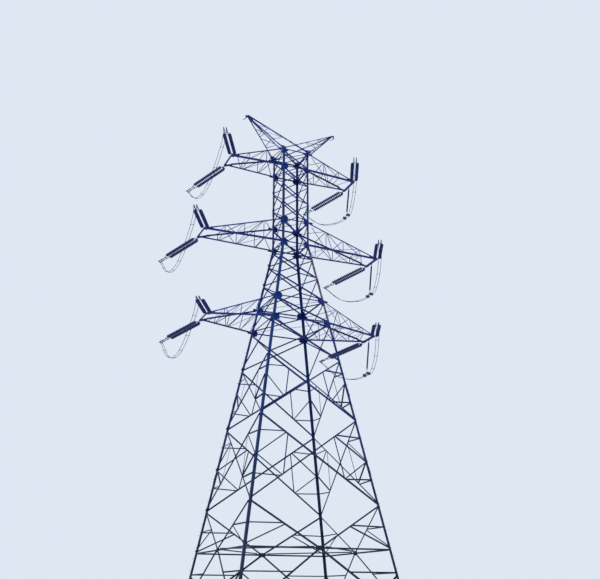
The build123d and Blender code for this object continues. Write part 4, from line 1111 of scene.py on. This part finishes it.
@dataclass(frozen=True)
class Bolting:
    """Bolts wherever a bar of the lattice lies on other steel, and where two bars cross."""

    steel: Steel
    first: float = 0.045
    step: float = 0.062
    flat_first: float = 0.027
    extra: float = 0.004
    size: float = 0.020
    light_size: float = 0.016
    light_bar: float = 0.085
    heavy_bar: float = 0.105
    light_most: int = 3
    heavy_most: int = 4
    crossing_gap: tuple[float, float] = (0.012, 0.020)
    crossing_end: float = 0.2
    most_parallel: float = 0.97
    facing: float = -0.99
    plate_bolt: float = 0.0745
    plate_size: float = 0.012
    gusset_insets: tuple[float, float] = (0.045, 0.110)
    gusset_half: float = 0.04
    gusset_inside: float = 0.0063
    gusset_highest: float = 36.175

    def ends(self, bolts: BoltRow, bars: Bars) -> None:
        """Bolts in line from both ends of every bar, as far as it lies on something."""
        for bar in bars.flanges():
            size = self.size if bar.width > self.light_bar else self.light_size
            inside = bar.across * bar.width / 2 + bar.out * bar.thick / 2
            for start, way in ((0.0, 1), (bar.length, -1)):
                for i in range(self.heavy_most if bar.width > self.heavy_bar else self.light_most):
                    place = bar.start + bar.along * (start + way * (self.first + i * self.step)) + inside
                    bolts.through(place, bar.out, size, bar.thick + self.extra)
        for bar in bars.flats():
            for place in bar.ends(self.flat_first):
                bolts.through(place, bar.out, self.light_size, bar.thick + self.extra)

    def crossings(self, bolts: BoltRow, bars: Bars) -> None:
        """One bolt with a packing ring where two bars cross, one on each side of the legs' flanges.

        The nearest points of the two flanges' middle lines come from the usual pair of linear equations.
        """
        rows = [(bar.start + bar.across * bar.width / 2, bar) for bar in bars.flanges()]
        for (p, one), (q, other) in combinations(rows, 2):
            lean = one.along @ other.along
            if abs(lean) > self.most_parallel or one.out @ other.out > self.facing:
                continue
            s = ((q - p) @ one.along - lean * ((q - p) @ other.along)) / (1 - lean * lean)
            t = s * lean - (q - p) @ other.along
            low, high = self.crossing_end, one.length - self.crossing_end
            if not (low < s < high and low < t < other.length - self.crossing_end):
                continue
            near, far = p + one.along * s, q + other.along * t
            gap = float(np.linalg.norm(near - far))
            if not self.crossing_gap[0] < gap < self.crossing_gap[1] or (near - far) @ one.out < 0:
                continue
            up = self.steel.reach(near + one.out * one.thick / 2, one.out)
            down = self.steel.reach(far + other.out * other.thick / 2, other.out)
            if min(up, down) > 0:
                rise = one.thick / 2 + up
                bolts.put(near + one.out * rise, one.out, self.size, rise + gap + other.thick / 2 + down)
                bolts.pack(far, one.out, gap)

    def frame_plates(self, bolts: BoltRow, bars: Bars) -> None:
        """Bolts through the middle plate of each horizontal frame, one on each arm of its cross of ties."""
        for bar in bars.flats():
            start = bar.start @ bar.along
            for way in (-self.plate_bolt, self.plate_bolt):
                if start < way < start + bar.length:
                    place = bar.start + bar.along * (way - start)
                    bolts.through(place, bar.out, self.plate_size, bar.thick + self.extra)

    def gussets(self, bolts: BoltRow, arm: Arm) -> None:
        """Bolts of the bent plates on the legs' flanges, at an arm's lower and upper level."""
        for level in (arm.height, min(arm.height + arm.depth, self.gusset_highest)):
            for sy in (-1, 1):
                for inset in self.gusset_insets:
                    for z in (level - self.gusset_half, level + self.gusset_half):
                        lean = LEG_SLOPE if z < WAIST else 0.0
                        out = np.array([0.0, sy, lean]) / (1 + lean * lean) ** 0.5
                        place = heel(arm.way, sy, z) - [arm.way * inset, 0.0, 0.0] + out * self.gusset_inside
                        bolts.through(place, out, self.size, self.size)

    def build(self) -> None:
        """Bolts of all the bracing."""
        nodes = ["belt_ring", "floor_frames", "peak_left", "peak_right"]
        nodes += [f"{part}_bracing_{side}" for part in ("body", "neck", "cage") for side in SIDES]
        nodes += [f"splay_bracing_{corner}" for corner in CORNERS]
        for node in nodes:
            bolts, bars = BoltRow(self.steel), Bars(node)
            self.ends(bolts, bars)
            self.crossings(bolts, bars)
            if node == "floor_frames":
                self.frame_plates(bolts, bars)
            bolts.build(f"bolts_{node}")
        for arm in ARMS:
            bolts = BoltRow(self.steel)
            self.ends(bolts, Bars(f"arm_{arm.place}"))
            self.gussets(bolts, arm)
            bolts.build(f"bolts_arm_{arm.place}")


@dataclass(frozen=True)
class Strap:
    """Two straps with cut corners, one over a yoke and one under it, with the bolts through both."""

    near: float
    far: float
    half: float
    outer: float
    bolts: tuple[float, ...]
    inner: float = 0.0083
    size: float = 0.020

    def build(self, shell: Shell, row: BoltRow, pull: TensionSet, base: float, y: float) -> None:
        """Adds the straps and their bolts.

        Args:
            shell: takes the straps.
            row: takes the bolts.
            pull: the tension set.
            base: where near and far are counted from, along the string.
            y: place beside the string's axis.
        """
        cut, near, far, half = 0.5 * self.half, self.near, self.far, self.half
        outline = [
            (near, -cut), (near + cut, -half), (far - cut, -half), (far, -cut),
            (far, cut), (far - cut, half), (near + cut, half), (near, cut),
        ]
        for low, high in ((self.inner, self.outer), (-self.outer, -self.inner)):
            points, faces = slab(outline, low, high)
            shell.add(pull.laid(points + [base, y, -pull.drop]), faces)
        for x in self.bolts:
            row.put(pull.at(base + x, y, self.outer - pull.drop), pull.axes()[3], self.size, 2 * self.outer)


@dataclass(frozen=True)
class Hardware:
    """Straps, pins and bolts of the tension sets and of the hanging clamps."""

    steel: Steel
    pin_size: float = 0.030
    pin_inside: float = 0.0163
    yoke_bolts: tuple[float, ...] = (0.185, 0.235)
    yoke_size: float = 0.018
    string_start: Strap = Strap(0.246, 0.304, 0.024, 0.0163, (0.272,))
    string_end: Strap = Strap(-0.004, 0.054, 0.024, 0.0163, (0.028,))
    link_end: Strap = Strap(-0.056, 0.052, 0.026, 0.0213, (-0.030, 0.026))
    clamp_pin: float = -0.030
    clamp_size: float = 0.016
    keepers: tuple[float, ...] = (0.055, 0.100, 0.145, 0.190)
    keeper_half: float = 0.013
    small_size: float = 0.012
    terminal_bolts: tuple[float, ...] = (0.060, 0.095)
    hanger_pin: float = -0.045
    hanger_bar: float = 0.035
    hanger_clamp: float = 0.33
    lip_side: float = 0.135
    lip_downs: tuple[float, ...] = (2.930, 3.047)
    lip_size: float = 0.014

    def pull_bolts(self, bolts: BoltRow, shell: Shell, pull: TensionSet) -> None:
        """Everything that is bolted on one tension set, from its pin to its terminals."""
        pin, _, beside, rise = pull.axes()
        bolts.through(pin + UP * self.pin_inside, UP, self.pin_size)
        for x in self.yoke_bolts:
            bolts.through(pull.at(x), rise, self.yoke_size)
        for way in (-1, 1):
            string, twin = way * pull.spacing / 2, way * pull.twin_half
            self.string_start.build(shell, bolts, pull, 0.0, string)
            self.string_end.build(shell, bolts, pull, pull.yoke(), string)
            self.link_end.build(shell, bolts, pull, pull.yoke() + pull.yoke_depth, twin)
            bolts.through(pull.at(pull.clamp() + self.clamp_pin, twin, -pull.drop), beside, self.clamp_size)
            for x in self.keepers:
                for side in (-self.keeper_half, self.keeper_half):
                    bolts.through(pull.at(pull.clamp() + x, twin + side, -pull.drop), rise, self.small_size)
            for length in self.terminal_bolts:
                bolts.through(pull.terminal(way, length), beside, self.small_size)

    def hanger_bolts(self, bolts: BoltRow, hanger: Hanger) -> None:
        """Bolts of the rod's link, of its bar and of the lips of the clamps' slots."""
        bolts.through(hanger.foot() + UP * self.hanger_pin, Y_AXIS, self.yoke_size)
        below = hanger.link + hanger.rod_length + self.hanger_bar
        bolts.through(hanger.at(0.0, below), hanger.across(), self.small_size)
        for end in (-self.hanger_clamp, self.hanger_clamp):
            for side in (-self.lip_side, self.lip_side):
                for down in self.lip_downs:
                    bolts.through(hanger.at(side, down, end), Y_AXIS, self.lip_size)

    def build(self) -> None:
        """Makes the hardware of each arm's sets."""
        for arm in ARMS:
            bolts, straps = BoltRow(self.steel), Shell()
            for side in Side:
                self.pull_bolts(bolts, straps, TensionSet(arm, side))
            if arm.way > 0:
                self.hanger_bolts(bolts, Hanger(arm))
            straps.build(f"string_straps_{arm.place}", Slot.FITTING)
            bolts.build(f"string_bolts_{arm.place}")


@dataclass(frozen=True)
class EarthClamps:
    """Clamps at the foot of each peak's lug, one each way along the line."""

    reach: float = 4.080
    eye_z: float = 39.068
    cheek_in: float = 0.017
    cheek_thick: float = 0.006
    cheek: Profile = (
        (-0.026, -0.012), (-0.012, -0.026), (0.085, -0.020), (0.100, -0.010), (0.100, 0.010), (0.085, 0.020),
        (-0.012, 0.026), (-0.026, 0.012),
    )
    body: Profile = (
        (0.008, 0.070), (0.020, 0.080), (0.024, 0.130), (0.024, 0.300), (0.017, 0.345), (0.017, 0.400),
    )
    bolt_size: float = 0.020
    bolt_half: float = 0.030

    def build(self) -> None:
        """Makes two clamps on each lug, along the line's two directions, and the bolt they hang on."""
        shell = Shell()
        for hand in (-1, 1):
            eye = np.array([hand * self.reach, 0.0, self.eye_z])
            for side in Side:
                _, along, beside, _ = TensionSet(ARMS[0], side).axes()
                shell.stand(turned(self.body, ROUND), eye, along, UP, ROUND_WALL)
                for start in (-self.cheek_in - self.cheek_thick, self.cheek_in):
                    shell.stand(slab(self.cheek, start, start + self.cheek_thick), eye, beside, along)
            shell.stand(bolt(self.bolt_size, 2 * self.bolt_half), eye + Y_AXIS * self.bolt_half, Y_AXIS)
        shell.build("earth_wire_clamps", Slot.FITTING)


@dataclass(frozen=True)
class Legs:
    """What the four legs carry: splice covers, step bolts and anchor bolts."""

    steel: Steel
    splices: tuple[float, ...] = (9.82, 15.50, 24.40, 31.22)
    cover_width: float = 0.150
    cover_thick: float = 0.012
    cover_gap: float = 0.0004
    cover_length: float = 0.58
    cover_bolts: tuple[float, ...] = (0.09, 0.25, 0.41, 0.59, 0.75, 0.91)
    cover_gauges: tuple[float, float] = (0.055, 0.110)
    bolt_size: float = 0.020
    body_leg: float = 0.016
    cage_leg: float = 0.014
    step_levels: tuple[float, float, float] = (2.6, 35.8, 0.40)
    step_in: float = 0.13
    step: Profile = (
        (0.013, -0.020), (0.013, 0.000), (0.008, 0.001), (0.008, 0.170), (0.014, 0.171), (0.014, 0.179),
    )
    plate_thick: float = 0.040
    anchor_half: float = 0.230
    anchor_in: float = 0.09
    rod: Profile = ((0.024, 0.002), (0.024, 0.190), (0.018, 0.196))
    washer: Profile = ((0.055 * 2 ** 0.5, 0.0404), (0.055 * 2 ** 0.5, 0.052))
    nut: Profile = ((0.041, 0.0), (0.044, 0.005), (0.044, 0.033), (0.041, 0.038))
    nut_levels: tuple[float, float] = (0.053, 0.094)

    def covers(self) -> None:
        """Angle covers over the joints of the legs, with their bolts.

        A cover is its section, an L round the heel, carried along the leg.
        """
        shell, bolts = Shell(), BoltRow(self.steel)
        w, t, gap = self.cover_width, self.cover_thick, self.cover_gap
        section = np.array([(-t, -t), (w, -t), (w, 0.0), (0.0, 0.0), (0.0, w), (-t, w)]) - gap
        half = self.cover_length / 2
        for z in self.splices:
            grip = t + gap + (self.body_leg if z < WAIST else self.cage_leg)
            for sx, sy in CORNERS.values():
                points, faces = slab((section * [-sx, -sy])[::sx * sy], z - half, z + half)
                points[:, :2] += heel(sx, sy, points[:, 2])[:, :2]
                shell.add(points, faces)
                low, high = heel(sx, sy, z - half), heel(sx, sy, z + half)
                for share in self.cover_bolts:
                    middle = low + (high - low) * share
                    for out, way in flange_ways(sx, sy):
                        for gauge in self.cover_gauges:
                            bolts.put(middle + out * (t + gap) + way * gauge, out, self.bolt_size, grip)
        shell.build("leg_splice_covers", Slot.LEG)
        bolts.build("leg_splice_bolts")

    def steps(self) -> None:
        """Step bolts up two opposite legs, on one flange and the other in turn: round bars with a head."""
        shell, low = Shell(), np.arange(*self.step_levels)
        for sx, sy in (CORNERS["front_right"], CORNERS["back_left"]):
            for first, (out, way) in enumerate(flange_ways(sx, sy)):
                origins = heel(sx, sy, low[first::2]) + way * self.step_in
                shell.stand(turned(self.step, OCTAGON), origins, out)
        shell.build("step_bolts", Slot.FITTING)

    def anchors(self) -> None:
        """Anchor bolts with washer plates and two nuts, standing in the holes of the base plates."""
        shell = Shell()
        square = np.array([(a, b, 0.0) for a in (-1, 1) for b in (-1, 1)]) * self.anchor_half
        nuts = [turned([(radius, low + z) for radius, z in self.nut], HEXAGON) for low in self.nut_levels]
        for sx, sy in CORNERS.values():
            inward = [sx * self.anchor_in, sy * self.anchor_in, self.plate_thick]
            places = heel(sx, sy, self.plate_thick) - inward + square
            for points, faces in (turned(self.rod, ROUND), turned(self.washer, SQUARE), *nuts):
                shell.add(places[:, None] + points, faces)
        shell.build("anchor_bolts", Slot.FOOT)

    def build(self) -> None:
        """Makes everything on the legs."""
        self.covers()
        self.steps()
        self.anchors()


def dress_nodes(frame: dict) -> None:
    """Gives every CAD node the finish of its slot."""
    slots = {row["node"]: Slot(row["material_slot"]) for row in frame["record"]["subparts"]}
    for name, node in frame["nodes"].items():
        node.data.materials.clear()
        node.data.materials.append(FINISHES[slots[name]].material())


def main() -> None:
    """Builds the tower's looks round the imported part."""
    logging.basicConfig(level=logging.INFO, format="%(message)s")
    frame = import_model()
    Viewpoint().build()
    Jumpers().build()
    dress_nodes(frame)
    Insulators().build()
    others = ("jumper", "insulators")
    steel = Steel(node for name, node in frame["nodes"].items() if not name.startswith(others))
    Bolting(steel).build()
    Hardware(steel).build()
    EarthClamps().build()
    Legs(steel).build()
    Studio().build()
    bpy.context.view_layer.update()


if __name__ == "__main__":
    main()
